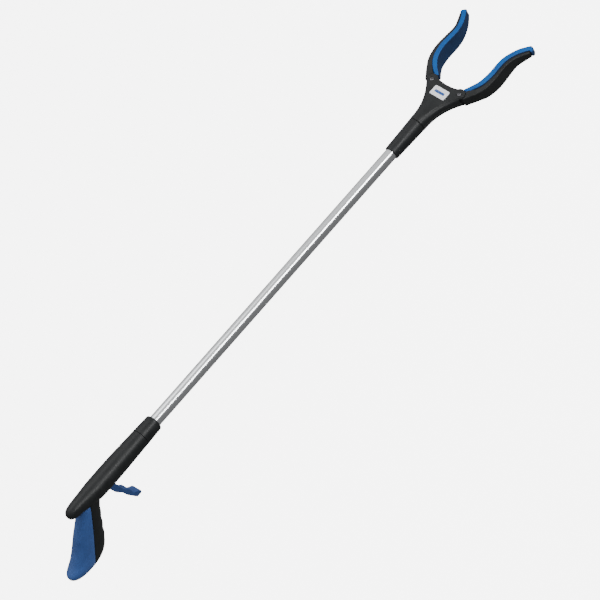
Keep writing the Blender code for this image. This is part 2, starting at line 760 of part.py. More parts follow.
def build_head_fasteners():
    for side, label in ((1, "left"), (-1, "right")):
        y = JAW_Y * side
        screw = add_part(cylinder((JAW_X, y, -8.0), (JAW_X, y, 8.0), PIVOT_SCREW_RADIUS, 14),
                         f"pivot_screw_{label}", STEEL)
        head = cylinder((JAW_X, y, HEAD_HALF_HEIGHT - 0.7), (JAW_X, y, HEAD_HALF_HEIGHT + 0.5),
                        PIVOT_HEAD_RADIUS, 20)
        cut(screw, add_cutter(head, f"pivot_screw_head_{label}"), "UNION")
        bush = cylinder((JAW_X, y, -5.6), (JAW_X, y, 5.6), BUSH_RADIUS, 20)
        bush = add_part(bush, f"pivot_bush_{label}", STEEL)
        bore = cylinder((JAW_X, y, -7.0), (JAW_X, y, 7.0), BUSH_BORE, 16)
        cut(bush, add_cutter(bore, f"pivot_bush_bore_{label}"))
        y = HEAD_SCREW_Y * side
        screw = add_part(cylinder((HEAD_SCREW_X, y, -7.5), (HEAD_SCREW_X, y, 5.8), 1.0, 12),
                         f"head_screw_{label}", STEEL)
        head = cylinder((HEAD_SCREW_X, y, -8.2), (HEAD_SCREW_X, y, -7.1), 1.9, 16)
        cut(screw, add_cutter(head, f"head_screw_head_{label}"), "UNION")


def build_label():
    half_x = LABEL_SIZE[0] / 2 - LABEL_CORNER
    half_y = LABEL_SIZE[1] / 2 - LABEL_CORNER
    outline = []
    for turn, (sx, sy) in enumerate(((1, 1), (-1, 1), (-1, -1), (1, -1))):
        centre = (LABEL_X + half_x * sx, half_y * sy)
        outline += arc(centre, LABEL_CORNER, 90.0 * turn, 90.0 * turn + 90.0, 4)
    base = HEAD_HALF_HEIGHT + GAP
    add_part(plate(outline, base, base + LABEL_THICKNESS), "face_label", LABEL_WHITE)


# ---------------------------------------------------------------- crosshead and jaws

def build_crosshead():
    pin_x = JAW_X - CROSS_PIN_BACK
    pin_y = JAW_Y - CROSS_PIN_IN
    bar = [(pin_x - 3.4, -CROSS_BAR_HALF), (pin_x + 3.2, -CROSS_BAR_HALF),
           (pin_x + 3.2, CROSS_BAR_HALF), (pin_x - 3.4, CROSS_BAR_HALF),
           (pin_x - 5.8, 4.6), (536.0, 4.6), (536.0, -4.6), (pin_x - 5.8, -4.6)]
    crosshead = add_part(plate(bar, CROSS_LOW_Z, CROSS_HIGH_Z), "crosshead", INNER, ROD_AXIS)
    stem = box((537.0, -4.4, CROSS_LOW_Z + 0.1), (555.0, 4.4, ROD_Z + 2.7))
    cut(crosshead, add_cutter(stem, "crosshead_stem"), "UNION")
    bore = cylinder((530.0, 0.0, ROD_Z), (ROD_END + GAP, 0.0, ROD_Z), ROD_RADIUS + GAP, 14)
    cut(crosshead, add_cutter(bore, "crosshead_bore"))
    for side, label in ((1, "left"), (-1, "right")):
        y = pin_y * side
        hole = cylinder((pin_x, y, -8.0), (pin_x, y, 0.0), CROSS_PIN_RADIUS + GAP, 16)
        cut(crosshead, add_cutter(hole, f"crosshead_pin_hole_{label}"))
        add_part(cylinder((pin_x, y, CROSS_LOW_Z), (pin_x, y, LEVER_HIGH_Z + 1.0),
                          CROSS_PIN_RADIUS, 16), f"crosshead_pin_{label}", STEEL, ROD_AXIS)


def lever_slot():
    """Outline of the slot in a jaw's lever: the crosshead pin's path seen from the jaw.

    The pin moves straight back while the jaw turns at a fixed share of that travel.
    """
    reach = CROSS_PIN_RADIUS + GAP
    steps = 8
    path = []
    for i in range(-1, steps + 2):
        share = i / steps
        angle = JAW_SWING * share
        x = -CROSS_PIN_BACK - ROD_TRAVEL * share
        y = -CROSS_PIN_IN
        path.append(Vector((x * math.cos(angle) - y * math.sin(angle),
                            x * math.sin(angle) + y * math.cos(angle))))
    one_side = []
    other_side = []
    for before, point, after in zip(path, path[1:], path[2:]):
        along = (after - before).normalized()
        across = Vector((-along.y, along.x)) * reach
        one_side.append(point + across)
        other_side.append(point - across)
    heading = math.degrees(math.atan2(*(path[-1] - path[-3]).yx))
    far_end = arc(path[-2], reach, heading + 90, heading - 90, 6)
    heading = math.degrees(math.atan2(*(path[2] - path[0]).yx))
    near_end = arc(path[1], reach, heading - 90, heading - 270, 6)
    outline = [tuple(p) for p in one_side[1:-1]] + far_end
    outline += [tuple(p) for p in reversed(other_side[1:-1])] + near_end
    return [(JAW_X + x, JAW_Y + y) for x, y in outline]


def jaw_rows():
    """Stations along a jaw with the outward direction of its gripping face."""
    rows = smooth(JAW_STATIONS, STEPS_PER_STATION)
    result = []
    for i, row in enumerate(rows):
        ahead = rows[min(i + 1, len(rows) - 1)]
        behind = rows[max(i - 1, 0)]
        along = Vector((ahead[0] - behind[0], ahead[1] - behind[1])).normalized()
        result.append((Vector(row[:2]), Vector((-along.y, along.x)), *row[2:]))
    return result


def jaw_section(foot, outward, near, far, wide, narrow, chamfer):
    """Ring of eight points between two depths, wide at the near one."""
    corners = [(near, wide - chamfer), (near + chamfer, wide), (far - chamfer, narrow),
               (far, narrow - chamfer)]
    ring = []
    for depth, height in corners + [(d, -h) for d, h in reversed(corners)]:
        spot = foot + outward * depth
        ring.append((spot.x, spot.y, height))
    return ring


def pad_back_width(half_width):
    return 0.82 * half_width


def pad_rings():
    rings = []
    for foot, outward, whole, pad, half_width in jaw_rows():
        rings.append(jaw_section(foot, outward, 0.0, pad, half_width,
                                 pad_back_width(half_width), 1.0))
    return rings


def arm_rings():
    foot, outward, whole, pad, half_width = jaw_rows()[0]
    start = foot - Vector((outward.y, -outward.x)) * ROOT_BACK
    rings = [jaw_section(start, outward, pad + 3.0, whole, ROOT_HALF_HEIGHT,
                         ROOT_HALF_HEIGHT - 1.0, 0.8)]
    for index, row in enumerate(jaw_rows()[:-ARM_STEPS_SHORT]):
        foot, outward, whole, pad, half_width = row
        least = ROOT_HALF_HEIGHT if index < 2 * STEPS_PER_STATION else HUB_HALF_HEIGHT
        wide = max(pad_back_width(half_width), least)
        narrow = max(0.75 * half_width, least - 1.0)
        rings.append(jaw_section(foot, outward, pad + GAP, whole, wide, narrow, 0.8))
    return rings


def flip_outline(outline, side):
    return [(x, y * side) for x, y in outline]


def flip_rings(rings, side):
    return [[(x, y * side, z) for x, y, z in ring] for ring in rings]


def build_jaw(side, label):
    parent = JAW_AXES[side]
    hub_side = arc((JAW_X, JAW_Y), HUB_RADIUS, 115.0, 368.0, 15)
    shoulder = [(573.7, 25.6), (582.4, 34.9), (579.6, 38.5), (573.0, 36.0), (566.8, 31.8)]
    root = plate(flip_outline(hub_side + shoulder, side), -HUB_HALF_HEIGHT, HUB_HALF_HEIGHT)
    arm = add_part(root, f"jaw_arm_{label}", BLACK, parent)
    spine = add_cutter(loft(flip_rings(arm_rings(), side)), f"jaw_spine_{label}")
    for name, low, high in (("top", HUB_HALF_HEIGHT, 20.0), ("foot", -20.0, -HUB_HALF_HEIGHT)):
        lobe = cylinder((JAW_X, JAW_Y * side, low), (JAW_X, JAW_Y * side, high),
                        LOBE_RADIUS + 0.5, 28)
        cut(spine, add_cutter(lobe, f"lobe_clearance_{name}_{label}"))
    cut(arm, spine, "UNION")
    far = (JAW_X - 0.38 * LEVER_LENGTH, JAW_Y - 0.93 * LEVER_LENGTH)
    lever = capsule((JAW_X, JAW_Y), far, LEVER_HALF_WIDTH)
    lever_body = plate(flip_outline(lever, side), LEVER_LOW_Z, LEVER_HIGH_Z)
    cut(arm, add_cutter(lever_body, f"jaw_lever_{label}"), "UNION")
    slot = plate(flip_outline(lever_slot(), side), LEVER_LOW_Z - 4, LEVER_HIGH_Z + 4)
    cut(arm, add_cutter(slot, f"jaw_slot_{label}"))
    bore = cylinder((JAW_X, JAW_Y * side, -9.0), (JAW_X, JAW_Y * side, 9.0), HUB_BORE)
    cut(arm, add_cutter(bore, f"jaw_bore_{label}"))
    add_part(loft(flip_rings(pad_rings(), side)), f"jaw_pad_{label}", JAW_BLUE, parent)


build_handle_shells()
build_grip_pad()
build_nose_ring()
build_handle_screws()
build_trigger()
build_clevis()
build_rod()
build_spring()
build_tube()
build_collar()
build_head_shells()
build_head_fasteners()
build_label()
build_crosshead()
build_jaw(1, "left")
build_jaw(-1, "right")
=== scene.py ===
"""Looks of the reacher grabber: smooth moulded shells, fluted tube, lined jaws and materials.

Shapes are built in the tube frame of the CAD model, in millimetres: X along the tube towards
the jaws with its zero at the handle's nose, Z up. MM and TO_ROW bring them to the row frame.
"""
import json
import math

import bmesh
import bpy
from mathutils import Matrix, Vector


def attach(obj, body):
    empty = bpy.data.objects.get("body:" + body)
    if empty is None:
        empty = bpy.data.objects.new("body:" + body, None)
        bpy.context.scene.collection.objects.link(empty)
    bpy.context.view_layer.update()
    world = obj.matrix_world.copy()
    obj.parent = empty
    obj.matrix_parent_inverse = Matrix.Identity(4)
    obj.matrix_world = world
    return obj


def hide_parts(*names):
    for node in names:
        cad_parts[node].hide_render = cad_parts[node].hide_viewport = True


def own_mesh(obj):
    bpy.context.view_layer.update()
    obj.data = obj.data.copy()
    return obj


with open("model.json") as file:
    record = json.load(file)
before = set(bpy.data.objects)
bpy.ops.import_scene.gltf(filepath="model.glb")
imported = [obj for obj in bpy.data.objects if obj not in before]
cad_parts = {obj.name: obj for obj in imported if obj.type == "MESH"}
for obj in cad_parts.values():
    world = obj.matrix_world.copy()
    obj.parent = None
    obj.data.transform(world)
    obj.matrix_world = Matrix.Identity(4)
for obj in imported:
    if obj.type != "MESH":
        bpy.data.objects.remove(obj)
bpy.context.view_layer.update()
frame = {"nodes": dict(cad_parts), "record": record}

MM = 0.001
MIDDLE_X = 235.2
LOWEST_Z = -90.0
TO_ROW = Matrix.Translation(Vector((-MIDDLE_X, 0.0, -LOWEST_Z)) * MM)

# Tube
TUBE_RADIUS = 8.0
TUBE_BORE = 6.8
TUBE_START = -38.0
TUBE_END = 488.0
TUBE_PLAY = 0.25             # between the tube and the socket in the handle
FLUTES = 26
FLUTE_DEPTH = 0.045
FLUTE_POINTS = 10
FLUTE_ROUNDNESS = 0.8        # below 1 the crests are broad and the grooves narrow
TURNED_POINTS = 96

# Handle
NOSE_LENGTH = 27.0
NOSE_RADIUS = 12.4
NOSE_BORE = 8.4
# Outside of the nose as (x, radius), from its mouth backwards
NOSE_PROFILE = [
    (-0.9, NOSE_BORE), (-0.45, 8.9), (-0.45, 9.9), (-0.75, 10.6), (-1.4, 11.15), (-2.4, 11.5),
    (-9.0, 11.75), (-15.4, 12.0), (-21.0, 12.2), (-26.75, NOSE_RADIUS),
    (-NOSE_LENGTH, NOSE_RADIUS - 0.25), (-NOSE_LENGTH, NOSE_BORE),
]
# Round sections as (x, radius, height of the centre)
HOUSING_SECTIONS = [
    (-18.0, 12.1, 0.0), (-NOSE_LENGTH, NOSE_RADIUS, 0.0),
    (-52.0, 13.2, 0.0),
    (-77.0, 13.9, 0.0),
    (-100.0, 13.9, 0.0),
    (-115.0, 13.8, 0.1),
    (-124.0, 12.9, 0.9),
    (-132.0, 11.9, 1.8),
    (-140.0, 10.9, 2.7),
    (-148.0, 10.1, 3.3),
    (-155.0, 9.3, 3.6),
    (-160.0, 8.2, 3.6),
    (-163.5, 6.4, 3.5),
    (-165.6, 4.2, 3.4),
    (-166.4, 1.8, 3.4),
]
HOUSING_STEPS = 5            # rings between two rows of a table of round sections
HOUSING_POINTS = 72
HOUSING_BORE_SECTIONS = [
    (-42.0, 11.4, 0.0), (-100.0, 11.4, 0.0), (-112.0, 10.8, 0.2), (-122.0, 9.8, 0.5),
    (-134.0, 8.6, 0.6), (-139.6, 8.2, 0.8),
]
# Grip sections as (z, front x, rear x, half width)
GRIP_SECTIONS = [
    (3.3, -108.4, -145.6, 8.1),
    (-5.0, -112.0, -149.0, 9.6),
    (-13.4, -116.2, -152.9, 10.75),
    (-22.0, -120.2, -159.4, 11.6),
    (-40.0, -126.0, -171.4, 13.1),
    (-58.0, -131.0, -182.6, 13.9),
    (-72.0, -135.2, -193.0, 14.5),
    (-81.0, -139.8, -203.2, 14.6),
    (-86.5, -146.0, -204.4, 13.5),
    (LOWEST_Z, -154.0, -199.0, 10.4),
]
GRIP_SQUARENESS = 2.3
GRIP_STEPS = 8               # rings between two rows of GRIP_SECTIONS
GRIP_POINTS = 64
RIDGE_HEIGHT = 0.6
RIDGE_PITCH = 17.0
RIDGE_CREST_Z = -30.0
RIDGE_TOP_Z = -18.0
RIDGE_FOOT_Z = -74.0
RIDGE_FADE = 8.0
PAD_THICKNESS = 3.0
PAD_GAP = 0.15               # the pad and its recess each stand this far from their edge line
PAD_HOUSING_GAP = 0.45
PAD_BED_GAP = 0.3
PAD_EDGE_X = -133.7          # front edge at z = 0
PAD_LEAN = 0.42
PAD_TOP_Z = 6.0
PAD_FOOT_Z = -85.6
PAD_REAR_X = -215.0
SOCKET_END = -46.0
TRIGGER_SLOT = ((-99.0, 0.0), (30.0, 15.0), 2.5)    # centre, size and corner
TRIGGER_SLOT_Z = (-22.0, -6.0)
HANDLE_SCREWS = [(-52.0, 9.0), (-146.0, 5.0), (-153.0, -38.0), (-168.0, -68.0)]    # (x, z)
HANDLE_SCREW_SEAT_Y = 6.3
HANDLE_SCREW_HEAD_RADIUS = 3.1
HANDLE_SCREW_SHANK_RADIUS = 1.9
HANDLE_VOXEL = 0.6
HANDLE_BLEND_VOXEL = 0.9     # coarser, so that the grip flows into the housing
HANDLE_CLEAR_Y = 30.0        # stands clear of both sides of the handle

# Trigger and the rod it pulls; outlines as (x, z)
PIVOT = (-100.0, 6.5)
BOSS_RADIUS = 3.8
TRIGGER_REAR = [(-103.6, 0.0), (-103.0, -9.0), (-99.6, -16.0), (-96.3, -26.0), (-92.2, -32.8),
                (-87.8, -39.2), (-83.6, -49.4), (-79.6, -56.4), (-74.4, -65.0)]
TRIGGER_TIP = [(-74.4, -65.0), (-71.8, -69.0), (-68.4, -70.6), (-65.2, -69.4), (-63.6, -65.8)]
TRIGGER_FRONT = [(-63.6, -65.8), (-65.6, -61.8), (-69.8, -58.8), (-73.8, -55.0), (-75.6, -49.0),
                 (-77.6, -43.8), (-81.4, -39.2), (-84.5, -33.0), (-87.2, -24.0), (-89.6, -16.0),
                 (-92.0, -6.0), (-95.0, 1.0)]
CRANK_PIN_X = -97.5815
ROD_Z = -3.2
PIN_RADIUS = 1.8
PIN_PLAY = 0.25
TRIGGER_HALF_WIDTH = 7.0
TRIGGER_FACE_Z = -16.0       # middle of the rounded front view
TRIGGER_FACE_HEIGHT = 109.6
TRIGGER_CORNER = 4.5
CHEEK_HALF_WIDTH = 4.6
CHEEK_FLOOR_Z = -11.0
FORK_HALF_GAP = 2.5
FORK_FLOOR_Z = -13.2
FORK_ROOF_Z = 2.8
CUT_START_X = -116.0
CUT_END_X = -80.0
CUT_CLEAR_Y = 9.0
CUT_TOP_Z = 14.0
TRIGGER_VOXEL = 0.5
SPRING_START = -133.15
SPRING_END = -108.85
SPRING_RADIUS = 3.6
SPRING_WIRE = 0.55
SPRING_TURNS = 7
SPRING_STEPS = 32            # rings in one turn
WIRE_POINTS = 12

# Head
COLLAR_START = 458.3
COLLAR_END = 508.5
COLLAR_RIM = 9.8
NECK_RADIUS = 11.4
COLLAR_BORE = 8.25
COLLAR_LIP_BORE = 8.5
SPIGOT_START = 495.0
SPIGOT_BORE = 6.0
HEAD_START = COLLAR_END + 0.3
HEAD_LAST_X = 577.0
HEAD_STEPS = 50
HEAD_TAPER = 35.0
HEAD_HALF_HEIGHT = 8.5
HEAD_EDGE_HEIGHT = 9.15      # height of the face's edge where the head leaves the collar
HEAD_FLANK_HEIGHT = 6.0      # height from the middle up to which the flank bulges
HEAD_BULGE = 0.30
HEAD_CLEAR_Z = 14.0          # stands clear of the head's face and underside
HEAD_SEAM_GAP = 0.12
HEAD_VOXEL = 0.42
CUT_REACH = 12.0             # depth that clears the head's outside
PLATE_INNER_Z = 5.9
SIDE_WALL = 2.4
CROTCH_X = 570.0
# Outline between the two lobes, as (x, y) from a lobe to the middle
CROTCH_EDGE = [(572.5, 17.3), (571.3, 13.0), (570.6, 8.0), (CROTCH_X, 0.0)]
JAW_X = 567.3
JAW_Y = 23.5
LOBE_RADIUS = 8.1
FLANK_START = 511.0
FLANK_END = 564.7
FLANK_GAIN = 21.2
FACE_START = 515.0
FACE_END = 565.0
FACE_HALF_WIDTH = 6.8
FACE_GAIN = 22.5
FLARE_POWER = 2.15
HEAD_SCREW = (536.0, 8.6)    # (x, y)
HEAD_SCREW_TIP_Z = 5.0
HEAD_SCREW_HOLE = 1.4
HEAD_SCREW_SEAT = 2.3
HEAD_SCREW_SEAT_DEPTH = 1.6
PIVOT_HOLE = 1.9
PIVOT_SEAT = 3.0
PIVOT_SEAT_DEPTH = 1.1
PIVOT_SCREW_RADIUS = 1.6
PIVOT_SCREW_REACH = 8.0
PIVOT_SCREW_TURN = 20.0      # turn of the cross recess, in degrees
PIVOT_SCREW_CROSS = ((-1.55, -0.35, 7.95), (1.55, 0.35, 10.0))
# Profile of the pivot screw's head as (radius, z)
PIVOT_SCREW_HEAD = [(2.6, 7.6), (2.6, 8.25), (2.35, 8.5), (1.7, 8.68), (0.7, 8.75)]
LABEL_X = 556.2
LABEL_SIZE = (13.7, 24.2)
LABEL_CORNER = 2.2
LABEL_POCKET_MARGIN = 0.35
LABEL_BASE_Z = HEAD_HALF_HEIGHT - 0.2
# Upper edge of the label as (inset, height above its base)
LABEL_EDGE = [(0.0, 0.0), (0.0, 0.42), (0.18, 0.55)]
LABEL_BAR_SIZE = (3.6, 16.0)
LABEL_BAR_CORNER = 1.7
LABEL_BAR_THICKNESS = 0.1

# Jaws: gripping face (x, y), whole thickness, pad thickness and half width in Z
JAW_STATIONS = [
    (577.5, 21.5, 17.4, 4.2, 5.2),
    (586.5, 30.5, 15.2, 5.0, 9.5),
    (596.0, 36.3, 14.0, 5.6, 11.6),
    (610.0, 39.0, 12.8, 5.8, 12.8),
    (625.0, 38.8, 12.0, 5.6, 12.8),
    (636.0, 39.0, 11.8, 5.4, 11.8),
    (647.0, 41.4, 11.0, 5.2, 10.2),
    (659.0, 46.8, 10.9, 5.2, 8.8),
    (670.6, 55.0, 9.6, 5.0, 6.6),
]
JAW_STEPS = 10
JAW_TIP_CAP = [(0.8, 0.92), (1.5, 0.78), (2.0, 0.58), (2.3, 0.3)]    # (reach, share of size)
ARM_SHORT = 3                # steps by which the plastic arm ends before the rubber
ROOT_BACK = 2.2              # how far the arm starts behind the rubber
ROOT_FULLER = (0.2, 3.2)     # how much thicker the arm and its cover are there
JAW_VOXEL = 0.45
ROOT_HALF_HEIGHT = 8.2
HUB_RADIUS = 6.2
HUB_BORE = 3.5
HUB_HALF_HEIGHT = 5.4
HUB_ARC = (115.0, 368.0)     # part of the hub's circle outside the shoulder, in degrees
HUB_SHOULDER = [(573.7, 25.6), (582.4, 34.9), (579.6, 38.5), (573.0, 36.0), (566.8, 31.8)]
LEVER_HALF_WIDTH = 4.2
LEVER_LENGTH = 13.6
LEVER_HEADING = (-0.38, -0.93)
LEVER_LOW_Z = -2.2
LEVER_HIGH_Z = 2.6
SLOT_HALF_WIDTH = 1.8
SLOT_STEPS = 8
CROSS_PIN = (6.0, 9.9)
JAW_SWING = math.radians(28.5)
ROD_TRAVEL = 4.837

# Stage and camera, in metres in the row frame
# Sky brightness from opposite its brightest point (0) to that point (1)
SKY = [(0.0, 0.17), (0.60, 0.20), (0.68, 0.34), (0.76, 0.74), (1.0, 0.84)]
SKY_MIDDLE = (0.0, 0.42, 0.91)
FLOOR_Z = -0.35
FLOOR_SIZE = 30.0
FLOOR_GLOW = 5.5
RIGHT = Vector((0.6360, -0.7137, -0.2936))
UP = Vector((0.7210, 0.4139, 0.5557))
BACK = Vector((-0.2751, -0.5651, 0.7778))
AIM = Vector((0.0188, 0.0012, 0.0289))
VIEW_WIDTH = 0.7413
LENS = 1200.0
SENSOR_WIDTH = 36.0
VIEW_DEPTH = 400.0
LAMP_AIM = Vector((0.0, 0.0, 0.05))


# ---------------------------------------------------------------- shapes

def mesh_object(points, faces):
    mesh = bpy.data.meshes.new("shape")
    mesh.from_pydata([Vector(p) * MM for p in points], [], faces)
    item = bpy.data.objects.new("shape", mesh)
    bpy.context.scene.collection.objects.link(item)
    bm = bmesh.new()
    bm.from_mesh(mesh)
    bmesh.ops.remove_doubles(bm, verts=bm.verts, dist=0.000001)
    bmesh.ops.recalc_face_normals(bm, faces=bm.faces)
    bm.to_mesh(mesh)
    bm.free()
    return item


def angles(count):
    """Angles of evenly spaced points around a circle."""
    return [2 * math.pi * i / count for i in range(count)]


def clamp(value, high=1.0):
    return min(max(value, 0.0), high)


def loft(rings, closed_ends=True):
    """Skin over rings that have the same number of points."""
    count = len(rings[0])
    points = [p for ring in rings for p in ring]
    faces = []
    for r in range(len(rings) - 1):
        for i in range(count):
            j = (i + 1) % count
            faces.append((r * count + i, r * count + j, (r + 1) * count + j, (r + 1) * count + i))
    if closed_ends:
        faces.append(tuple(range(count)))
        faces.append(tuple((len(rings) - 1) * count + i for i in range(count)))
    return mesh_object(points, faces)


def turned(profile):
    """Ring-shaped body of revolution about X from a closed profile of (x, radius)."""
    rings = [[(x, radius * math.cos(a), radius * math.sin(a)) for a in angles(TURNED_POINTS)]
             for x, radius in profile]
    rings.append(rings[0])
    return loft(rings, closed_ends=False)


def cylinder(start, end, radius, segments=32):
    """Round bar between two points."""
    start = Vector(start)
    end = Vector(end)
    across = (end - start).to_track_quat("Z", "Y")
    circle = [across @ Vector((radius * math.cos(a), radius * math.sin(a), 0.0))
              for a in angles(segments)]
    return loft([[centre + spoke for spoke in circle] for centre in (start, end)])


def box(low, high):
    """Block between two opposite corners."""
    x0, y0, z0 = low
    x1, y1, z1 = high
    ring = [(x0, y0), (x1, y0), (x1, y1), (x0, y1)]
    return loft([[(x, y, z) for x, y in ring] for z in (z0, z1)])


def plate(outline, low, high, upright=False):
    """Extrude an outline: (x, y) between two heights, or, upright, (x, z) between two y."""
    if upright:
        return loft([[(x, y, z) for x, z in outline] for y in (low, high)])
    return loft([[(x, y, z) for x, y in outline] for z in (low, high)])


def arc(centre, radius, start, end, steps):
    """Points on an arc between two angles in degrees."""
    points = []
    for i in range(steps + 1):
        angle = math.radians(start + (end - start) * i / steps)
        points.append((centre[0] + radius * math.cos(angle), centre[1] + radius * math.sin(angle)))
    return points


def capsule(start, end, radius, steps=10):
    """Outline of a bar with round ends."""
    heading = math.degrees(math.atan2(end[1] - start[1], end[0] - start[0]))
    return (arc(start, radius, heading + 90, heading + 270, steps)
            + arc(end, radius, heading - 90, heading + 90, steps))


def rounded_rectangle(centre, size, corner, steps=8):
    half_x = size[0] / 2 - corner
    half_y = size[1] / 2 - corner
    outline = []
    for turn, (sx, sy) in enumerate(((1, 1), (-1, 1), (-1, -1), (1, -1))):
        outline += arc((centre[0] + half_x * sx, centre[1] + half_y * sy), corner,
                       90.0 * turn, 90.0 * turn + 90.0, steps)
    return outline


def smooth(rows, steps):
    """Catmull-Rom rows through the given rows, steps to each interval."""
    result = []
    last = len(rows) - 1
    for i in range(last):
        before = rows[max(i - 1, 0)]
        after = rows[min(i + 2, last)]
        for k in range(steps):
            t = k / steps
            row = []
            for p0, p1, p2, p3 in zip(before, rows[i], rows[i + 1], after):
                bend = 2 * p0 - 5 * p1 + 4 * p2 - p3
                twist = 3 * p1 - p0 - 3 * p2 + p3
                row.append(p1 + (p2 - p0) * t / 2 + bend * t * t / 2 + twist * t ** 3 / 2)
            result.append(tuple(row))
    result.append(tuple(rows[last]))
    return result


def mirrored(half):
    """Whole outline from its +Y half."""
    return half + [(x, -y) for x, y in reversed(half[1:-1])]


# ---------------------------------------------------------------- working on solids

def bake(item):
    """Turn an object's modifiers and placing into its own mesh."""
    bpy.context.view_layer.update()
    evaluated = item.evaluated_get(bpy.context.evaluated_depsgraph_get())
    mesh = bpy.data.meshes.new_from_object(evaluated)
    item.modifiers.clear()
    item.data = mesh
    return item


def combine(item, cutters, operation="DIFFERENCE"):
    """Cut, join or intersect with each cutter in turn, and use the cutters up."""
    for cutter in cutters:
        modifier = item.modifiers.new("combine", "BOOLEAN")
        modifier.operation = operation
        modifier.object = cutter
        modifier.solver = "EXACT"
        bake(item)
        bpy.data.objects.remove(cutter, do_unlink=True)
    return item


def twin(item):
    """Copy of an object with a mesh of its own."""
    copy = bpy.data.objects.new(item.name, item.data.copy())
    bpy.context.scene.collection.objects.link(copy)
    return copy


def melt(item, voxel, rounds):
    """Remesh evenly and relax, so that edges come out rounded as on a moulding."""
    remesh = item.modifiers.new("remesh", "REMESH")
    remesh.mode = "VOXEL"
    remesh.voxel_size = voxel * MM
    relax = item.modifiers.new("relax", "SMOOTH")
    relax.factor = 0.5
    relax.iterations = rounds
    return bake(item)


def finish(item, name, material, body, nodes, angle=None):
    """Name a piece, bring it to the row frame and tie it to its body and CAD nodes."""
    item.name = name
    item.data.name = name
    item.data.transform(TO_ROW)
    item.data.materials.clear()
    item.data.materials.append(material)
    item.data.shade_smooth()
    if angle is not None:
        item.data.set_sharp_from_angle(angle=math.radians(angle))
    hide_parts(*nodes)
    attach(item, body)
    return item


# ---------------------------------------------------------------- materials

class Nodes:
    """Small helper for building a material's node tree."""

    def __init__(self, name):
        self.material = bpy.data.materials.new(name)
        self.material.use_nodes = True
        self.tree = self.material.node_tree
        self.shader = self.tree.nodes["Principled BSDF"]
        coordinates = self.tree.nodes.new("ShaderNodeTexCoord")
        self.place = coordinates.outputs["Object"]
        self.facing = coordinates.outputs["Normal"]

    def add(self, kind, **values):
        node = self.tree.nodes.new(kind)
        for key, value in values.items():
            node.inputs[key.replace("_", " ")].default_value = value
        return node

    def link(self, output, target):
        self.tree.links.new(output, target)

    def stretched(self, scale):
        """Object coordinates scaled by axis, so that a small scale gives long features."""
        mapping = self.add("ShaderNodeMapping", Scale=scale)
        self.link(self.place, mapping.inputs["Vector"])
        return mapping.outputs["Vector"]

    def noise(self, size, detail=3.0, source=None):
        """Noise with features of about this size in millimetres."""
        node = self.add("ShaderNodeTexNoise", Scale=1.0 / (size * MM), Detail=detail,
                        Roughness=0.55)
        self.link(source or self.place, node.inputs["Vector"])
        return node.outputs["Fac"]

    def cells(self, size):
        node = self.add("ShaderNodeTexVoronoi", Scale=1.0 / (size * MM))
        self.link(self.place, node.inputs["Vector"])
        return node.outputs["Distance"]

    def upright(self):
        """How far the surface faces along the piece's own Z, from 0 to 1."""
        split = self.tree.nodes.new("ShaderNodeSeparateXYZ")
        self.link(self.facing, split.inputs["Vector"])
        size = self.tree.nodes.new("ShaderNodeMath")
        size.operation = "ABSOLUTE"
        self.link(split.outputs["Z"], size.inputs[0])
        return size.outputs["Value"]

    def ranged(self, value, low, high, start=0.3, end=0.7):
        """Bring a value between start and end to the range from low to high."""
        node = self.tree.nodes.new("ShaderNodeMapRange")
        self.link(value, node.inputs["Value"])
        node.inputs["From Min"].default_value = start
        node.inputs["From Max"].default_value = end
        node.inputs["To Min"].default_value = low
        node.inputs["To Max"].default_value = high
        return node.outputs["Result"]

    def blend(self, factor, first, second):
        node = self.tree.nodes.new("ShaderNodeMix")
        node.data_type = "RGBA"
        self.link(factor, node.inputs["Factor"])
        for socket, colour in ((node.inputs["A"], first), (node.inputs["B"], second)):
            if isinstance(colour, tuple):
                socket.default_value = (*colour, 1.0)
            else:
                self.link(colour, socket)
        return node.outputs["Result"]

    def bump(self, height, depth, strength=1.0, normal=None):
        node = self.add("ShaderNodeBump", Strength=strength, Distance=depth * MM)
        self.link(height, node.inputs["Height"])
        if normal:
            self.link(normal, node.inputs["Normal"])
        return node.outputs["Normal"]

    def feed(self, name, value):
        self.link(value, self.shader.inputs[name])

    def set(self, **values):
        for key, value in values.items():
            self.shader.inputs[key.replace("_", " ")].default_value = value


def black_plastic():
    """Satin black moulding: fine spark-eroded grain and faint mottling of the sheen."""
    n = Nodes("black_plastic_look")
    cloud = n.noise(9.0, 4.0)
    speck = n.noise(1.1, 2.0)
    tone = n.blend(n.ranged(cloud, 0.0, 1.0), (0.0095, 0.0108, 0.0115), (0.0155, 0.0170, 0.0180))
    n.feed("Base Color", n.blend(n.ranged(speck, 0.0, 0.35), tone, (0.021, 0.0225, 0.0235)))
    n.feed("Roughness", n.ranged(cloud, 0.36, 0.46))
    grain = n.bump(speck, 0.05, 0.5)
    n.feed("Normal", n.bump(n.noise(0.35, 2.0), 0.02, 0.5, grain))
    n.set(Specular_IOR_Level=0.27)
    return n.material


def soft_grip():
    """Soft blue overmould with a fine embossed stipple."""
    n = Nodes("soft_grip_look")
    cloud = n.noise(16.0, 3.0)
    stipple = n.cells(1.5)
    tone = n.blend(n.ranged(cloud, 0.0, 1.0), (0.024, 0.082, 0.285), (0.037, 0.112, 0.370))
    dots = n.ranged(stipple, 0.55, 0.0, 0.12, 0.5)
    n.feed("Base Color", n.blend(dots, tone, (0.014, 0.050, 0.190)))
    n.feed("Roughness", n.ranged(cloud, 0.50, 0.66))
    n.feed("Normal", n.bump(stipple, 0.22, 0.7, n.bump(n.noise(0.5, 2.0), 0.05, 0.5)))
    n.set(Sheen_Weight=0.15, Sheen_Roughness=0.5)
    return n.material


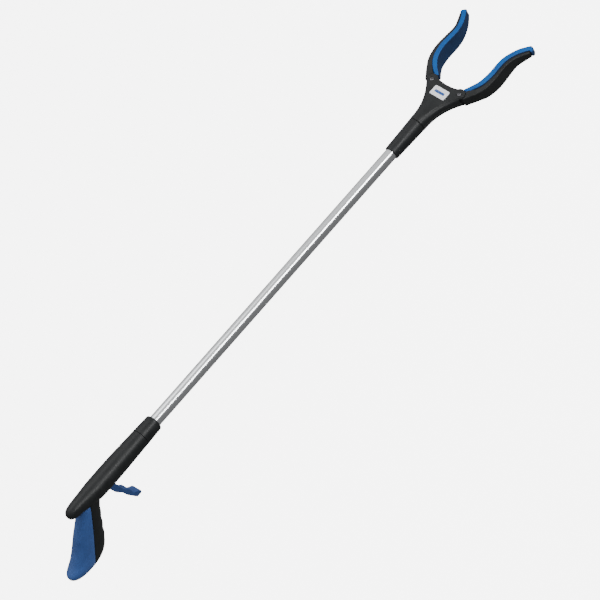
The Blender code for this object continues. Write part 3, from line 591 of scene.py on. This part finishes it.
def trigger_plastic():
    """Harder and darker blue moulding with a fine grain."""
    n = Nodes("trigger_look")
    cloud = n.noise(7.0, 3.0)
    speck = n.noise(0.9, 2.0)
    n.feed("Base Color", n.blend(n.ranged(cloud, 0.0, 1.0),
                                 (0.022, 0.056, 0.190), (0.031, 0.080, 0.260)))
    n.feed("Roughness", n.ranged(speck, 0.36, 0.50))
    n.feed("Normal", n.bump(speck, 0.08, 0.6))
    return n.material


def jaw_rubber():
    """Matte blue lining rubber: blue flanks, and gripping faces darkened with painted shade."""
    n = Nodes("jaw_rubber_look")
    cloud = n.noise(10.0, 4.0)
    speck = n.noise(0.8, 2.0)
    tone = n.blend(n.ranged(cloud, 0.0, 1.0), (0.001, 0.060, 0.250), (0.002, 0.090, 0.340))
    flank = n.blend(n.ranged(speck, 0.0, 0.3), tone, (0.004, 0.100, 0.380))
    # painted shade: a darker blue that stands in for the shade on the gripping faces
    painted_face_shade = n.blend(n.ranged(cloud, 0.0, 1.0), (0.012, 0.030, 0.080), (0.018, 0.042, 0.115))
    # painted shade goes where the surface turns away from the piece's Z; the flanks keep the
    # rubber's own blue
    n.feed("Base Color", n.blend(n.ranged(n.upright(), 0.0, 1.0, 0.45, 0.75), painted_face_shade, flank))
    n.feed("Roughness", n.ranged(cloud, 0.46, 0.62))
    n.feed("Normal", n.bump(speck, 0.10, 0.6))
    n.set(Specular_IOR_Level=0.25)
    return n.material


def drawn_aluminium():
    """Satin tube: streaks run along the draw direction."""
    n = Nodes("aluminium_look")
    streak = n.noise(1.2, 3.0, source=n.stretched((0.012, 1.0, 1.0)))
    fine = n.noise(0.35, 2.0, source=n.stretched((0.02, 1.0, 1.0)))
    tone = n.blend(n.ranged(streak, 0.0, 1.0), (0.85, 0.87, 0.90), (0.92, 0.94, 0.96))
    n.feed("Base Color", tone)
    n.feed("Roughness", n.ranged(fine, 0.13, 0.19))
    n.set(Metallic=1.0)
    return n.material


def plated_steel(name, light, dark):
    """Plated or blackened steel with a faintly clouded sheen."""
    n = Nodes(name)
    cloud = n.noise(2.0, 3.0)
    n.feed("Base Color", n.blend(n.ranged(cloud, 0.0, 1.0), dark, light))
    n.feed("Roughness", n.ranged(n.noise(0.5, 2.0), 0.28, 0.45))
    n.set(Metallic=1.0)
    return n.material


def inner_plastic():
    """Dark grey moulding for the pieces inside."""
    n = Nodes("inner_plastic_look")
    cloud = n.noise(5.0, 3.0)
    n.feed("Base Color", n.blend(n.ranged(cloud, 0.0, 1.0), (0.045, 0.045, 0.048),
                                 (0.075, 0.075, 0.08)))
    n.feed("Roughness", n.ranged(cloud, 0.45, 0.6))
    n.feed("Normal", n.bump(n.noise(0.6, 2.0), 0.04, 0.5))
    return n.material


def label_stock():
    """Coated white label stock."""
    n = Nodes("label_look")
    cloud = n.noise(6.0, 3.0)
    n.feed("Base Color", n.blend(n.ranged(cloud, 0.0, 1.0), (0.86, 0.88, 0.92),
                                 (0.92, 0.93, 0.95)))
    n.feed("Roughness", n.ranged(cloud, 0.28, 0.38))
    n.feed("Normal", n.bump(n.noise(0.7, 2.0), 0.01, 0.4))
    return n.material


def label_ink():
    """Blue print on the label, slightly uneven."""
    n = Nodes("label_ink_look")
    cloud = n.noise(1.2, 3.0)
    n.feed("Base Color", n.blend(n.ranged(cloud, 0.0, 1.0), (0.015, 0.06, 0.24),
                                 (0.03, 0.10, 0.34)))
    n.feed("Roughness", n.ranged(cloud, 0.32, 0.45))
    return n.material


BLACK = black_plastic()
GRIP_BLUE = soft_grip()
TRIGGER_BLUE = trigger_plastic()
JAW_BLUE = jaw_rubber()
ALUMINIUM = drawn_aluminium()
STEEL = plated_steel("plated_steel_look", (0.42, 0.42, 0.43), (0.25, 0.25, 0.26))
SCREW_GREY = plated_steel("screw_look", (0.20, 0.20, 0.21), (0.10, 0.10, 0.11))
INNER = inner_plastic()
LABEL_WHITE = label_stock()
LABEL_BLUE = label_ink()


# ---------------------------------------------------------------- handle

def round_rings(sections, grow=0.0):
    """Rings for a table of round sections, grown outwards."""
    rings = []
    for x, radius, middle in smooth(sections, HOUSING_STEPS):
        reach = radius + grow
        rings.append([(x, reach * math.cos(a), middle + reach * math.sin(a))
                      for a in angles(HOUSING_POINTS)])
    return rings


def housing(grow=0.0):
    return loft(round_rings(HOUSING_SECTIONS, grow))


def grip_form(inset=0.0, bumps=0.0):
    """The grip; bumps raises the soft finger ridges down its front."""
    rings = []
    for z, front, back, half_width in smooth(GRIP_SECTIONS, GRIP_STEPS):
        ridge = bumps * math.cos((z - RIDGE_CREST_Z) / RIDGE_PITCH * 2 * math.pi)
        fade = clamp((RIDGE_TOP_Z - z) / RIDGE_FADE) * clamp((z - RIDGE_FOOT_Z) / RIDGE_FADE)
        front += ridge * fade
        middle = (front + back) / 2
        depth = (front - back) / 2 - inset
        width = half_width - inset
        ring = []
        for angle in angles(GRIP_POINTS):
            c = math.cos(angle)
            s = math.sin(angle)
            x = middle + depth * math.copysign(abs(c) ** (2 / GRIP_SQUARENESS), c)
            y = width * math.copysign(abs(s) ** (2 / GRIP_SQUARENESS), s)
            ring.append((x, y, z))
        rings.append(ring)
    return loft(rings)


def pad_region(margin):
    """Block behind the pad's leaning front edge and above its foot."""
    def edge(z):
        return PAD_EDGE_X + PAD_LEAN * z - margin
    foot = PAD_FOOT_Z + margin
    outline = [(edge(PAD_TOP_Z), PAD_TOP_Z), (edge(foot), foot), (PAD_REAR_X, foot),
               (PAD_REAR_X, PAD_TOP_Z)]
    return plate(outline, -HANDLE_CLEAR_Y, HANDLE_CLEAR_Y, upright=True)


def build_handle():
    outside = combine(housing(), [grip_form(bumps=RIDGE_HEIGHT)], "UNION")
    melt(outside, HANDLE_BLEND_VOXEL, 10)
    pad = melt(combine(twin(outside), [pad_region(PAD_GAP)], "INTERSECT"), HANDLE_VOXEL, 0)
    combine(pad, [grip_form(PAD_THICKNESS), housing(PAD_HOUSING_GAP)])
    melt(pad, HANDLE_VOXEL, 4)
    finish(pad, "grip_soft_pad", GRIP_BLUE, "frame", ["grip_pad"])

    pad_space = combine(pad_region(-PAD_GAP),
                        [grip_form(PAD_THICKNESS + PAD_BED_GAP), housing()])
    cutters = [
        pad_space,
        cylinder((10.0, 0.0, 0.0), (SOCKET_END, 0.0, 0.0), TUBE_RADIUS + TUBE_PLAY, 64),
        loft(round_rings(HOUSING_BORE_SECTIONS)),
        plate(rounded_rectangle(*TRIGGER_SLOT), *TRIGGER_SLOT_Z),
        box((-NOSE_LENGTH - 0.1, -20.0, -20.0), (0.0, 20.0, 20.0)),
    ]
    for x, z in HANDLE_SCREWS:
        cutters.append(cylinder((x, HANDLE_SCREW_SEAT_Y, z), (x, 20.0, z),
                                HANDLE_SCREW_HEAD_RADIUS, 32))
        cutters.append(cylinder((x, -5.0, z), (x, 7.0, z), HANDLE_SCREW_SHANK_RADIUS, 16))
    combine(outside, cutters)
    melt(outside, HANDLE_VOXEL, 2)
    finish(outside, "handle_casing", BLACK, "frame", ["handle_shell_left", "handle_shell_right"])


def build_nose():
    finish(turned(NOSE_PROFILE), "nose_collar", BLACK, "frame", ["nose_ring"],
           40)


def build_trigger():
    boss = arc(PIVOT, BOSS_RADIUS, 0.0, 180.0, 16)
    outline = (boss + smooth(TRIGGER_REAR, 6) + smooth(TRIGGER_TIP, 4)[1:-1]
               + smooth(TRIGGER_FRONT, 6))
    trigger = plate(outline, -TRIGGER_HALF_WIDTH, TRIGGER_HALF_WIDTH, upright=True)
    face = rounded_rectangle((0.0, TRIGGER_FACE_Z),
                             (2 * TRIGGER_HALF_WIDTH, TRIGGER_FACE_HEIGHT), TRIGGER_CORNER)
    combine(trigger, [loft([[(x, y, z) for y, z in face] for x in (-130.0, -40.0)])], "INTERSECT")
    cutters = [box((CUT_START_X, CHEEK_HALF_WIDTH, CHEEK_FLOOR_Z),
                   (CUT_END_X, CUT_CLEAR_Y, CUT_TOP_Z)),
               box((CUT_START_X, -CUT_CLEAR_Y, CHEEK_FLOOR_Z),
                   (CUT_END_X, -CHEEK_HALF_WIDTH, CUT_TOP_Z)),
               box((CUT_START_X, -FORK_HALF_GAP, FORK_FLOOR_Z),
                   (CUT_END_X, FORK_HALF_GAP, FORK_ROOF_Z))]
    for x, z in (PIVOT, (CRANK_PIN_X, ROD_Z)):
        cutters.append(cylinder((x, -12.0, z), (x, 12.0, z), PIN_RADIUS + PIN_PLAY))
    combine(trigger, cutters)
    melt(trigger, TRIGGER_VOXEL, 9)
    finish(trigger, "trigger_lever", TRIGGER_BLUE, "trigger", ["trigger"])


def build_spring():
    """Return spring coiled around the rod, carried with the pull rod."""
    rings = []
    steps = SPRING_TURNS * SPRING_STEPS
    for i in range(steps + 1):
        angle = 2 * math.pi * SPRING_TURNS * i / steps
        outward = Vector((0.0, math.cos(angle), math.sin(angle)))
        x = SPRING_START + (SPRING_END - SPRING_START) * i / steps
        centre = Vector((x, 0.0, ROD_Z)) + outward * SPRING_RADIUS
        rings.append([centre + outward * SPRING_WIRE * math.cos(a)
                      + Vector((SPRING_WIRE * math.sin(a), 0.0, 0.0))
                      for a in angles(WIRE_POINTS)])
    spring = finish(loft(rings), "return_spring_coil", STEEL, "pull_rod", ["return_spring"])
    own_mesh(spring)


# ---------------------------------------------------------------- tube and collar

def build_tube():
    rings = []
    for x, radius, depth in ((TUBE_START, TUBE_BORE, 0.0), (TUBE_START, TUBE_RADIUS, 1.0),
                             (TUBE_END, TUBE_RADIUS, 1.0), (TUBE_END, TUBE_BORE, 0.0)):
        ring = []
        for angle in angles(FLUTES * FLUTE_POINTS):
            wave = abs(math.sin(FLUTES * angle / 2)) ** FLUTE_ROUNDNESS
            r = radius - FLUTE_DEPTH * (1 - wave) * depth
            ring.append((x, r * math.cos(angle), r * math.sin(angle)))
        rings.append(ring)
    rings.append(rings[0])
    finish(loft(rings, closed_ends=False), "fluted_tube", ALUMINIUM, "frame", ["shaft_tube"],
           30)


def build_collar():
    profile = [(COLLAR_END, NECK_RADIUS - 0.5), (COLLAR_END - 0.5, NECK_RADIUS)]
    profile += [(COLLAR_START + 2.0, COLLAR_RIM + 0.05), (COLLAR_START + 1.0, COLLAR_RIM - 0.1),
                (COLLAR_START + 0.25, COLLAR_RIM - 0.45), (COLLAR_START, 9.0),
                (COLLAR_START, COLLAR_LIP_BORE), (COLLAR_START + 0.6, COLLAR_BORE),
                (COLLAR_END, COLLAR_BORE)]
    finish(turned(profile), "neck_sleeve", BLACK, "frame", ["neck_collar"], 35)


# ---------------------------------------------------------------- head

def flare(x, start, end, base, gain):
    """Half width that grows ever faster from the neck towards the jaws."""
    t = clamp((x - start) / (end - start), 1.2)
    return base + gain * t ** FLARE_POWER


def flank(x):
    return flare(x, FLANK_START, FLANK_END, NECK_RADIUS, FLANK_GAIN)


def head_ring(x):
    """Section across the head: arched face, crisp edge line and bulging flank."""
    face = flare(x, FACE_START, FACE_END, FACE_HALF_WIDTH, FACE_GAIN)
    side = flank(x)
    flat = clamp((x - COLLAR_END) / HEAD_TAPER)
    flat = flat * flat * (3 - 2 * flat)
    top = NECK_RADIUS + (HEAD_HALF_HEIGHT - NECK_RADIUS) * flat
    edge = HEAD_EDGE_HEIGHT + (HEAD_HALF_HEIGHT - HEAD_EDGE_HEIGHT) * flat
    quarter = []
    for i in range(7):
        z = HEAD_FLANK_HEIGHT * i / 6
        bulge = HEAD_BULGE * (side - face) * (z / HEAD_FLANK_HEIGHT) ** 2.2
        quarter.append((side - bulge, z))
    quarter += [(face + 0.40 * (side - face), edge - 1.35),
                (face + 0.10 * (side - face), edge - 0.55), (face, edge)]
    for share in (0.8, 0.6, 0.4, 0.2, 0.0):
        quarter.append((face * share, edge + (1 - share ** 2) * (top - edge)))
    upper = quarter + [(-y, z) for y, z in reversed(quarter[:-1])]
    lower = [(y, -z) for y, z in reversed(upper[1:-1])]
    return [(x, y, z) for y, z in upper + lower]


def head_plan():
    """Outline of the head seen from above, with the lobes that hold the jaw screws."""
    points = [(SPIGOT_START - 5, 0.0), (SPIGOT_START - 5, NECK_RADIUS + 1)]
    steps = 26
    for i in range(steps + 1):
        x = FLANK_START + (FLANK_END - 1.2 - FLANK_START) * i / steps
        points.append((x, flank(x) + 0.02))
    points += arc((JAW_X, JAW_Y), LOBE_RADIUS, 104.0, -50.0, 24)
    points += smooth(CROTCH_EDGE, 5)[1:]
    return mirrored(points)


def head_cavity():
    """Hollow for the crosshead and the levers, open towards the jaws."""
    half = [(FACE_START, 0.0), (FACE_START, 5.4), (530.0, 8.2), (538.0, 12.0)]
    half += [(x, flank(x) - SIDE_WALL) for x in (546.0, 554.0, 560.0)]
    half += [(563.2, 34.0), (566.0, 48.0), (592.0, 48.0), (592.0, 9.0),
             (CROTCH_X - SIDE_WALL, 8.6), (CROTCH_X - SIDE_WALL, 0.0)]
    return plate(mirrored(half), -PLATE_INNER_Z, PLATE_INNER_Z)


def build_head():
    rings = []
    for x in (SPIGOT_START, HEAD_START):
        ring = []
        for y, z in [p[1:] for p in head_ring(COLLAR_END)]:
            spot = Vector((y, z)).normalized() * TUBE_RADIUS
            ring.append((x, spot.x, spot.y))
        rings.append(ring)
    for i in range(HEAD_STEPS + 1):
        rings.append(head_ring(HEAD_START + (HEAD_LAST_X - COLLAR_END) * i / HEAD_STEPS))
    whole = combine(loft(rings), [plate(head_plan(), -HEAD_CLEAR_Z, HEAD_CLEAR_Z)],
                    "INTERSECT")
    pocket = rounded_rectangle((LABEL_X, 0.0), (LABEL_SIZE[0] + 2 * LABEL_POCKET_MARGIN,
                                                LABEL_SIZE[1] + 2 * LABEL_POCKET_MARGIN),
                               LABEL_CORNER + LABEL_POCKET_MARGIN)
    cutters = [head_cavity(),
               cylinder((SPIGOT_START - 4, 0.0, 0.0), (FACE_START + 1, 0.0, 0.0), SPIGOT_BORE,
                        48),
               plate(pocket, HEAD_HALF_HEIGHT - 0.25, HEAD_CLEAR_Z)]
    for side in (1, -1):
        y = JAW_Y * side
        cutters.append(cylinder((JAW_X, y, -CUT_REACH), (JAW_X, y, CUT_REACH), PIVOT_HOLE, 24))
        cutters.append(cylinder((JAW_X, y, HEAD_HALF_HEIGHT - PIVOT_SEAT_DEPTH),
                                (JAW_X, y, CUT_REACH), PIVOT_SEAT, 40))
        x = HEAD_SCREW[0]
        y = HEAD_SCREW[1] * side
        cutters.append(cylinder((x, y, -CUT_REACH), (x, y, HEAD_SCREW_TIP_Z), HEAD_SCREW_HOLE, 20))
        cutters.append(cylinder((x, y, -CUT_REACH),
                                (x, y, -HEAD_HALF_HEIGHT + HEAD_SCREW_SEAT_DEPTH),
                                HEAD_SCREW_SEAT, 32))
    upper = combine(whole, cutters)
    lower = twin(upper)
    combine(upper, [box((480.0, -50.0, HEAD_SEAM_GAP), (600.0, 50.0, 20.0))], "INTERSECT")
    combine(lower, [box((480.0, -50.0, -20.0), (600.0, 50.0, -HEAD_SEAM_GAP))], "INTERSECT")
    for shell, side in ((upper, "upper"), (lower, "lower")):
        melt(shell, HEAD_VOXEL, 2)
        finish(shell, f"head_casing_{side}", BLACK, "frame", [f"head_shell_{side}"])


def build_pivot_screws():
    for side, label in ((1, "left"), (-1, "right")):
        y = JAW_Y * side
        screw = cylinder((JAW_X, y, -PIVOT_SCREW_REACH), (JAW_X, y, PIVOT_SCREW_REACH),
                         PIVOT_SCREW_RADIUS, 24)
        head = loft([[(JAW_X + r * math.cos(a), y + r * math.sin(a), z) for a in angles(40)]
                     for r, z in PIVOT_SCREW_HEAD])
        combine(screw, [head], "UNION")
        turn = math.radians(PIVOT_SCREW_TURN * side)
        for step in range(2):
            blade = box(*PIVOT_SCREW_CROSS)
            blade.data.transform(Matrix.Translation(Vector((JAW_X, y, 0.0)) * MM)
                                 @ Matrix.Rotation(turn + step * math.pi / 2, 4, "Z"))
            combine(screw, [blade])
        finish(screw, f"pivot_screw_cross_{label}", SCREW_GREY, "frame",
               [f"pivot_screw_{label}"], 30)


def build_label():
    rings = []
    for inset, height in LABEL_EDGE:
        outline = rounded_rectangle((LABEL_X, 0.0), (LABEL_SIZE[0] - 2 * inset,
                                                     LABEL_SIZE[1] - 2 * inset), LABEL_CORNER)
        rings.append([(x, y, LABEL_BASE_Z + height) for x, y in outline])
    finish(loft(rings), "plain_label", LABEL_WHITE, "frame", ["face_label"], 30)
    top = LABEL_BASE_Z + 0.53
    bar = plate(rounded_rectangle((LABEL_X, 0.0), LABEL_BAR_SIZE, LABEL_BAR_CORNER), top,
                top + LABEL_BAR_THICKNESS)
    bar.name = "label_bar"
    bar.data.transform(TO_ROW)
    bar.data.materials.append(LABEL_BLUE)
    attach(bar, "frame")


# ---------------------------------------------------------------- jaws

def jaw_rows():
    """Rows of (foot, outward direction, whole thickness, pad thickness, half width)."""
    rows = smooth(JAW_STATIONS, JAW_STEPS)
    result = []
    for i, row in enumerate(rows):
        ahead = rows[min(i + 1, len(rows) - 1)]
        behind = rows[max(i - 1, 0)]
        along = Vector((ahead[0] - behind[0], ahead[1] - behind[1])).normalized()
        result.append((Vector(row[:2]), Vector((-along.y, along.x)), *row[2:]))
    return result


def section(foot, outward, half, side):
    """Closed ring from a half section of (depth, height), mirrored in height."""
    ring = []
    for depth, height in half + [(d, -h) for d, h in reversed(half)]:
        spot = foot + outward * depth
        ring.append((spot.x, spot.y * side, height))
    return ring


def wrap_depth(whole, pad):
    """Depth to which the rubber wraps the flanks of the arm."""
    return min(pad + 1.6, whole - 2.2)


def spine_half(width):
    """Half width of the arm's spine inside the rubber."""
    return max(0.60 * width, 3.0)


def pad_half(whole, pad, width):
    """Rubber: dished gripping face, rounded edge, and a flank that wraps the arm."""
    wrap = wrap_depth(whole, pad)
    spine = spine_half(width)
    return [(0.55, 0.0), (0.50, 0.35 * width), (0.2, 0.7 * width), (0.0, width - 1.1),
            (0.3, width - 0.3), (1.0, width), (wrap - 1.0, width - 0.5),
            (wrap - 0.3, width - 0.9), (wrap, width - 2.0), (wrap, spine + 0.1),
            (pad - 1.0, spine + 0.1), (pad - 1.0, 0.0)]


def tip_half(whole, width):
    """Rubber beyond the arm's end: solid right through and rounded at the back."""
    return [(0.3, 0.0), (0.25, 0.35 * width), (0.1, 0.7 * width), (0.0, 0.85 * width),
            (0.4, 0.95 * width), (1.2, width), (0.55 * whole, 0.97 * width),
            (0.75 * whole, 0.88 * width), (0.88 * whole, 0.72 * width),
            (0.95 * whole, 0.5 * width), (whole, 0.25 * width), (whole, 0.0)]


def arm_half(whole, pad, width, root):
    """Plastic spine behind the rubber: a rim beside the rubber, a groove, and a round back."""
    near = pad - 0.9
    wrap = wrap_depth(whole, pad)
    spine = spine_half(width)
    least = ROOT_HALF_HEIGHT if root else HUB_HALF_HEIGHT - 1.0
    rim = max(width - 2.0, least)
    back = max(width - 2.9, least - 1.0)
    return [(near, 0.0), (near, spine), (wrap + 0.1, spine), (wrap + 0.1, rim - 0.5),
            (wrap + 0.4, rim), (wrap + 1.0, rim - 0.1), (whole - 0.9, back + 0.6),
            (whole - 0.2, back - 0.3), (whole, back - 1.5), (whole, 0.0)]


def lever_slot():
    """Slot along the path of the crosshead's pin as the jaw turns and the rod slides."""
    path = []
    for i in range(-1, SLOT_STEPS + 2):
        share = i / SLOT_STEPS
        angle = JAW_SWING * share
        x = -CROSS_PIN[0] - ROD_TRAVEL * share
        y = -CROSS_PIN[1]
        path.append(Vector((x * math.cos(angle) - y * math.sin(angle),
                            x * math.sin(angle) + y * math.cos(angle))))
    one_side = []
    other_side = []
    for before, point, after in zip(path, path[1:], path[2:]):
        along = (after - before).normalized()
        across = Vector((-along.y, along.x)) * SLOT_HALF_WIDTH
        one_side.append(point + across)
        other_side.append(point - across)
    heading = math.degrees(math.atan2(*(path[-1] - path[-3]).yx))
    far_end = arc(path[-2], SLOT_HALF_WIDTH, heading + 90, heading - 90, 8)
    heading = math.degrees(math.atan2(*(path[2] - path[0]).yx))
    near_end = arc(path[1], SLOT_HALF_WIDTH, heading - 90, heading - 270, 8)
    outline = [tuple(p) for p in one_side[1:-1]] + far_end
    outline += [tuple(p) for p in reversed(other_side[1:-1])] + near_end
    return [(JAW_X + x, JAW_Y + y) for x, y in outline]


def flipped(outline, side):
    """Outline of the left jaw, or its mirror image where side is -1."""
    return [(x, y * side) for x, y in outline]


def build_jaw(side, label):
    rows = jaw_rows()
    body = f"jaw_{label}"
    rings = []
    for foot, outward, whole, thick, width in rows[:-ARM_SHORT]:
        rings.append(section(foot, outward, pad_half(whole, thick, width), side))
    for foot, outward, whole, thick, width in rows[-ARM_SHORT:]:
        rings.append(section(foot, outward, tip_half(whole, width), side))
    foot, outward, whole, thick, width = rows[-1]
    along = Vector((outward.y, -outward.x))
    for reach, share in JAW_TIP_CAP:
        inner = foot + along * reach + outward * whole * (1 - share) / 2
        rings.append(section(inner, outward, tip_half(whole * share, width * share), side))
    pad = loft(rings)
    melt(pad, JAW_VOXEL, 5)
    finish(pad, f"jaw_lining_{label}", JAW_BLUE, body, [f"jaw_pad_{label}"])

    foot, outward, whole, thick, width = rows[0]
    along = Vector((outward.y, -outward.x))
    rings = [section(foot - along * ROOT_BACK, outward,
                     arm_half(whole + ROOT_FULLER[0], thick + ROOT_FULLER[1], width, True),
                     side)]
    for i, (foot, outward, whole, thick, width) in enumerate(rows[:-ARM_SHORT]):
        half = arm_half(whole, thick, width, i < 2 * JAW_STEPS)
        rings.append(section(foot, outward, half, side))
    arm = loft(rings)
    hub = arc((JAW_X, JAW_Y), HUB_RADIUS, *HUB_ARC, 30)
    combine(arm, [cylinder((JAW_X, JAW_Y * side, low), (JAW_X, JAW_Y * side, high),
                           LOBE_RADIUS + 0.45, 48)
                  for low, high in ((HUB_HALF_HEIGHT, 20.0), (-20.0, -HUB_HALF_HEIGHT))])
    far = (JAW_X + LEVER_HEADING[0] * LEVER_LENGTH, JAW_Y + LEVER_HEADING[1] * LEVER_LENGTH)
    lever = plate(flipped(capsule((JAW_X, JAW_Y), far, LEVER_HALF_WIDTH), side), LEVER_LOW_Z,
                  LEVER_HIGH_Z)
    combine(arm, [plate(flipped(hub + HUB_SHOULDER, side), -HUB_HALF_HEIGHT, HUB_HALF_HEIGHT),
                  lever], "UNION")
    combine(arm, [plate(flipped(lever_slot(), side), -6.0, 6.0),
                  cylinder((JAW_X, JAW_Y * side, -9.0), (JAW_X, JAW_Y * side, 9.0), HUB_BORE)])
    melt(arm, HEAD_VOXEL, 2)
    finish(arm, f"jaw_spine_{label}", BLACK, body, [f"jaw_arm_{label}"])


# ---------------------------------------------------------------- stage, lights and camera

def build_floor():
    """Glowing ground that lights nothing but itself."""
    corners = [(x * FLOOR_SIZE, y * FLOOR_SIZE, 0.0)
               for x, y in ((-1, -1), (1, -1), (1, 1), (-1, 1))]
    mesh = bpy.data.meshes.new("floor")
    mesh.from_pydata(corners, [], [(0, 1, 2, 3)])
    floor = bpy.data.objects.new("floor", mesh)
    bpy.context.scene.collection.objects.link(floor)
    floor.location.z = FLOOR_Z
    floor.visible_diffuse = False
    floor.visible_glossy = False
    n = Nodes("floor_look")
    n.set(Base_Color=(0.9, 0.9, 0.9, 1.0), Roughness=1.0, Specular_IOR_Level=0.0)
    n.set(Emission_Color=(1.0, 1.0, 1.0, 1.0), Emission_Strength=FLOOR_GLOW)
    mesh.materials.append(n.material)


def build_sky():
    """Studio light all around, brightest towards SKY_MIDDLE."""
    world = bpy.data.worlds.new("studio")
    bpy.context.scene.world = world
    world.use_nodes = True
    tree = world.node_tree
    background = tree.nodes["Background"]
    direction = tree.nodes.new("ShaderNodeTexCoord").outputs["Generated"]
    lean = tree.nodes.new("ShaderNodeVectorMath")
    lean.operation = "DOT_PRODUCT"
    lean.inputs[1].default_value = SKY_MIDDLE
    tree.links.new(direction, lean.inputs[0])
    ramp = tree.nodes.new("ShaderNodeValToRGB")
    stops = ramp.color_ramp.elements
    stops[0].position = 0.0
    stops[0].color = (*[SKY[0][1]] * 3, 1.0)
    stops[1].position = 1.0
    stops[1].color = (*[SKY[-1][1]] * 3, 1.0)
    for place, grey in SKY[1:-1]:
        stops.new(place).color = (grey, grey, grey, 1.0)
    height = tree.nodes.new("ShaderNodeMapRange")
    height.inputs["From Min"].default_value = -1.0
    tree.links.new(lean.outputs["Value"], height.inputs["Value"])
    tree.links.new(height.outputs["Result"], ramp.inputs["Fac"])
    tree.links.new(ramp.outputs["Color"], background.inputs["Color"])
    background.inputs["Strength"].default_value = 1.0


def add_light(name, place, size, power):
    """Rectangular lamp that faces the middle of the object."""
    data = bpy.data.lights.new(name, "AREA")
    data.shape = "RECTANGLE"
    data.size, data.size_y = size
    data.energy = power
    light = bpy.data.objects.new(name, data)
    light.location = place
    heading = Vector(place) - LAMP_AIM
    light.rotation_euler = heading.to_track_quat("Z", "Y").to_euler()
    bpy.context.scene.collection.objects.link(light)


def build_camera():
    data = bpy.data.cameras.new("camera")
    data.lens = LENS
    data.sensor_width = SENSOR_WIDTH
    data.clip_end = VIEW_DEPTH
    camera = bpy.data.objects.new("camera", data)
    rotation = Matrix((RIGHT.normalized(), UP.normalized(), BACK.normalized())).transposed()
    distance = VIEW_WIDTH * LENS / SENSOR_WIDTH
    camera.matrix_world = (Matrix.Translation(AIM + BACK.normalized() * distance)
                           @ rotation.to_4x4())
    bpy.context.scene.collection.objects.link(camera)
    bpy.context.scene.camera = camera


def dress_frame():
    """Give the carried-over CAD pieces their materials."""
    looks = {"inner_plastic": INNER, "plated_steel": STEEL, "black_plastic": BLACK}
    slots = {entry["node"]: entry["material_slot"] for entry in frame["record"]["subparts"]}
    for name, item in frame["nodes"].items():
        look = looks.get(slots[name])
        if look is None:
            continue
        for material_slot in item.material_slots:
            material_slot.material = look


dress_frame()
build_camera()
build_floor()
build_sky()
add_light("strip", (0.55, -1.10, 1.50), (2.4, 0.20), 34.0)
add_light("overhead", (-0.3, 0.9, 1.7), (1.6, 1.0), 10.0)
build_handle()
build_nose()
build_trigger()
build_spring()
build_tube()
build_collar()
build_head()
build_pivot_screws()
build_label()
build_jaw(1, "left")
build_jaw(-1, "right")
